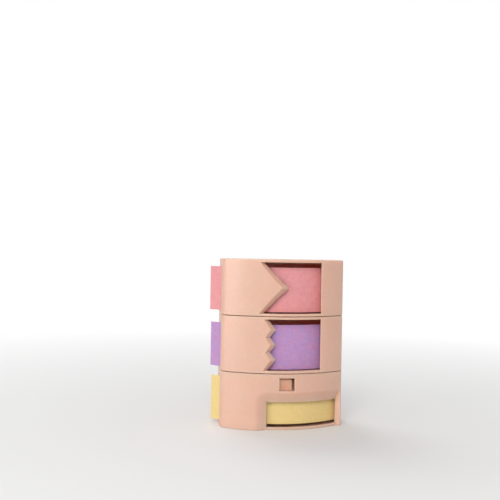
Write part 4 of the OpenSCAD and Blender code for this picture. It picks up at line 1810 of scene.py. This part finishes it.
def seen_rays(sketch: NodeSketch) -> bpy.types.NodeSocket:
    """Value that is 1 for what the camera sees, straight, in a reflection or through glass, and else 0.

    Args:
        sketch: Sketch of the material or the room.

    Returns:
        The value's socket.
    """
    rays = sketch.add("ShaderNodeLightPath").outputs
    seen = sketch.math("MAXIMUM", rays["Is Camera Ray"], rays["Is Glossy Ray"])
    return sketch.math("MAXIMUM", seen, rays["Is Transmission Ray"])


@dataclass(frozen=True)
class Studio:
    """A pale sweep, soft lamps and a plain bright room, in metres and watts."""

    floor_color: Color = (0.86, 0.855, 0.85)
    floor_gloss: float = 0.85
    tooth: float = 900.0
    tooth_depth: float = 1e-5
    white_from: float = 0.03
    white_to: float = 0.30
    room: float = 0.42
    half_width: float = 1.6
    front: float = -0.9
    bend: float = 0.55
    bend_radius: float = 0.35
    bend_steps: int = 24
    height: float = 1.3
    lamps: tuple[Lamp, ...] = (
        Lamp("key", azimuth=-17, elevation=37, distance=0.75, size=0.34, power=2.4),
        Lamp("side", azimuth=-60, elevation=0, distance=0.8, size=0.28, power=2.1),
        Lamp("top", azimuth=-155, elevation=50, distance=0.9, size=0.5, power=1.9),
    )

    def sweep(self) -> bpy.types.Object:
        """Floor and backdrop in one: a level line, a quarter circle and an upright line, carried along X.

        Returns:
            The sweep.
        """
        turn = np.linspace(-np.pi / 2, 0, self.bend_steps + 1)
        arc = self.bend_radius * np.stack([np.cos(turn), 1 + np.sin(turn)], axis=-1) + [self.bend, 0.0]
        line = np.vstack([[self.front, 0.0], arc, [self.bend + self.bend_radius, self.height]])
        x = np.array([-self.half_width, self.half_width])
        places = np.stack([np.insert(line, 0, value, axis=1) for value in x], axis=1)
        mesh = bpy.data.meshes.new("sweep")
        index = np.arange(len(line) * 2).reshape(-1, 2)
        quads = np.stack([index[:-1, 0], index[:-1, 1], index[1:, 1], index[1:, 0]], axis=-1)
        mesh.from_pydata(places.reshape(-1, 3).tolist(), [], quads.tolist())
        return new_object("sweep", mesh)

    def floor_material(self) -> bpy.types.Material:
        """Matt paper with a faint tooth, which runs out to plain white away from the object.

        Only what is seen, straight or in a reflection, turns white. The light on the object stays.

        Returns:
            The material.
        """
        material, sketch = blank_material("sweep_paper")
        place = sketch.add("ShaderNodeTexCoord").outputs["Object"]
        tooth = sketch.noise(place, scale=self.tooth, detail=3.0)
        bump = sketch.add("ShaderNodeBump", {"Height": tooth, "Distance": self.tooth_depth})
        inputs = {"Base Color": (*self.floor_color, 1.0), "Roughness": self.floor_gloss}
        paper = sketch.add("ShaderNodeBsdfPrincipled", {**inputs, "Normal": bump.outputs["Normal"]})
        white = sketch.add("ShaderNodeEmission", {"Color": WHITE, "Strength": 1.0})
        away = sketch.add("ShaderNodeVectorMath", {0: place}, operation="LENGTH").outputs["Value"]
        far = sketch.reach(away, old=(self.white_from, self.white_to), new=(0.0, 1.0))
        share = sketch.math("MULTIPLY", seen_rays(sketch), far)
        mixed = sketch.add("ShaderNodeMixShader", {0: share, 1: paper.outputs["BSDF"], 2: white.outputs[0]})
        sketch.add("ShaderNodeOutputMaterial", {"Surface": mixed.outputs["Shader"]})
        return material

    def build(self) -> None:
        """Builds the sweep, the lamps and the room's light."""
        floor = self.sweep()
        floor.data.materials.append(self.floor_material())
        middle = np.array([(low + high) / 2 for low, high in zip(*CAD_BOX)])
        for lamp in self.lamps:
            lamp.build(middle)
        bpy.context.scene.world = self.world()
        bpy.context.scene.view_settings.view_transform = "Standard"

    def world(self) -> bpy.types.World:
        """A plain room that lights the object softly and is seen as white.

        Returns:
            The room's light.
        """
        world = bpy.data.worlds.new("room")
        world.use_nodes = True
        world.node_tree.nodes.clear()
        sketch = NodeSketch(world.node_tree)
        strength = sketch.reach(seen_rays(sketch), old=(0.0, 1.0), new=(self.room, 1.0))
        light = sketch.add("ShaderNodeBackground", {"Color": WHITE, "Strength": strength})
        sketch.add("ShaderNodeOutputWorld", {"Surface": light.outputs["Background"]})
        return world


@dataclass(frozen=True)
class Viewpoint:
    """Where the photograph was taken from: level, a little left of the front, in millimetres and degrees."""

    lens: float = 54.23
    sensor: float = 36.0
    distance: float = 260.0
    aside: float = 11.33
    height: float = 60.05
    yaw: float = 7.216
    roll: float = 1.0
    near: float = 10.0

    def build(self) -> None:
        """Makes the scene's camera."""
        yaw = math.radians(self.yaw)
        ahead = np.array([math.sin(yaw), math.cos(yaw), 0.0])
        right = np.array([math.cos(yaw), -math.sin(yaw), 0.0])
        place = -self.distance * ahead - self.aside * right + [0.0, 0.0, self.height]
        lens = bpy.data.cameras.new("camera")
        lens.lens = self.lens
        lens.sensor_width = self.sensor
        lens.clip_start = self.near * MM
        camera = bpy.data.objects.new("camera", lens)
        camera.matrix_world = facing(place * MM, -ahead, math.radians(self.roll))
        bpy.context.scene.collection.objects.link(camera)
        bpy.context.scene.camera = camera


@dataclass
class Cutter:
    """The whole tape cutter, dressed in order."""

    plan: Plan
    dresser: Dresser
    shell_edge: float = 0.3
    clamp_edge: float = 0.15
    button_edge: float = 0.03
    bed_edge: float = 0.12
    pad_edge: float = 0.3

    def covers(self) -> list[EdgedCover]:
        """Builds and dresses the three covers.

        Returns:
            The two covers with cutting edges.
        """
        edged = [
            EdgedCover(self.plan, Station.RIBBON, outline=ribbon_edge, bevel=2.6, rows_a_leg=9),
            EdgedCover(self.plan, Station.ZIGZAG, outline=zigzag_edge, bevel=2.5, rows_a_leg=4),
        ]
        for cover in (*edged, SlitterCover(self.plan, Station.SLITTER)):
            self.dresser.stand_for(cover.build(), cover.node, PEACH, Slot.PLASTIC)
        return edged

    def mouldings(self) -> None:
        """Softens and dresses the shell, the beds, the blade's clamp, the button and the pads."""
        mouldings = [
            ("rear_shell", self.shell_edge, PEACH),
            ("blade_clamp", self.clamp_edge, PEACH),
            # The button's peach carries painted shade: darker and more orange, as if in the shade of its
            # window.
            ("hold_button", self.button_edge, BUTTON_PEACH_PAINTED_SHADE),
            *((f"{station.value}_bed", self.bed_edge, PEACH) for station in Station),
        ]
        for node, radius, finish in mouldings:
            piece = softened_copy(node, f"{node}_moulding", radius)
            self.dresser.stand_for(piece, node, finish, Slot.PLASTIC)
        for station in Station:
            node = f"{station.value}_grip_pad"
            piece = softened_copy(node, f"{node}_silicone", self.pad_edge)
            self.dresser.stand_for(piece, node, SILICONE, Slot.SILICONE)

    def steel(self, edged: list[EdgedCover]) -> None:
        """Builds and dresses the steel pieces.

        Args:
            edged: The covers with cutting edges.
        """
        fastenings = Fastenings(self.plan)
        for cover in edged:
            blade = EdgeBlade(cover)
            self.dresser.stand_for(blade.build(), blade.node, STEEL, Slot.STEEL)
            rivets = fastenings.rivets(cover.station)
            self.dresser.stand_for(rivets, f"{cover.station.value}_blade_rivets", STEEL, Slot.STEEL)
        self.dresser.stand_for(fastenings.screws(), "bed_screws", STEEL, Slot.STEEL)
        self.dresser.stand_for(fastenings.pin(), "hinge_pin", STEEL, Slot.STEEL)
        spring = LeafSpring(self.plan)
        self.dresser.stand_for(spring.build(), spring.node, STEEL, Slot.STEEL, spring.bend())
        for node in ("slitting_blade", "clamp_screw", "spring_rivet"):
            self.dresser.keep(node, STEEL)

    def tapes(self) -> None:
        """Builds and dresses the three tapes."""
        for tape, finish, slot in (
            (Tape(self.plan, "ribbon_tape"), PINK_PAPER, Slot.PINK),
            (Tape(self.plan, "zigzag_tape"), LILAC_PAPER, Slot.LILAC),
            (SlitTape(self.plan, "slit_tape"), YELLOW_PAPER, Slot.YELLOW),
        ):
            self.dresser.stand_for(tape.build(), tape.node, finish, slot)

    def build(self) -> None:
        """Builds and dresses every piece."""
        edged = self.covers()
        self.mouldings()
        self.steel(edged)
        self.tapes()


def main() -> None:
    """Builds the camera, the object and the stage."""
    logging.basicConfig(level=logging.INFO, format="%(name)s: %(message)s")
    Viewpoint().build()
    Cutter(Plan.from_frame(), Dresser()).build()
    Studio().build()


if __name__ == "__main__":
    main()
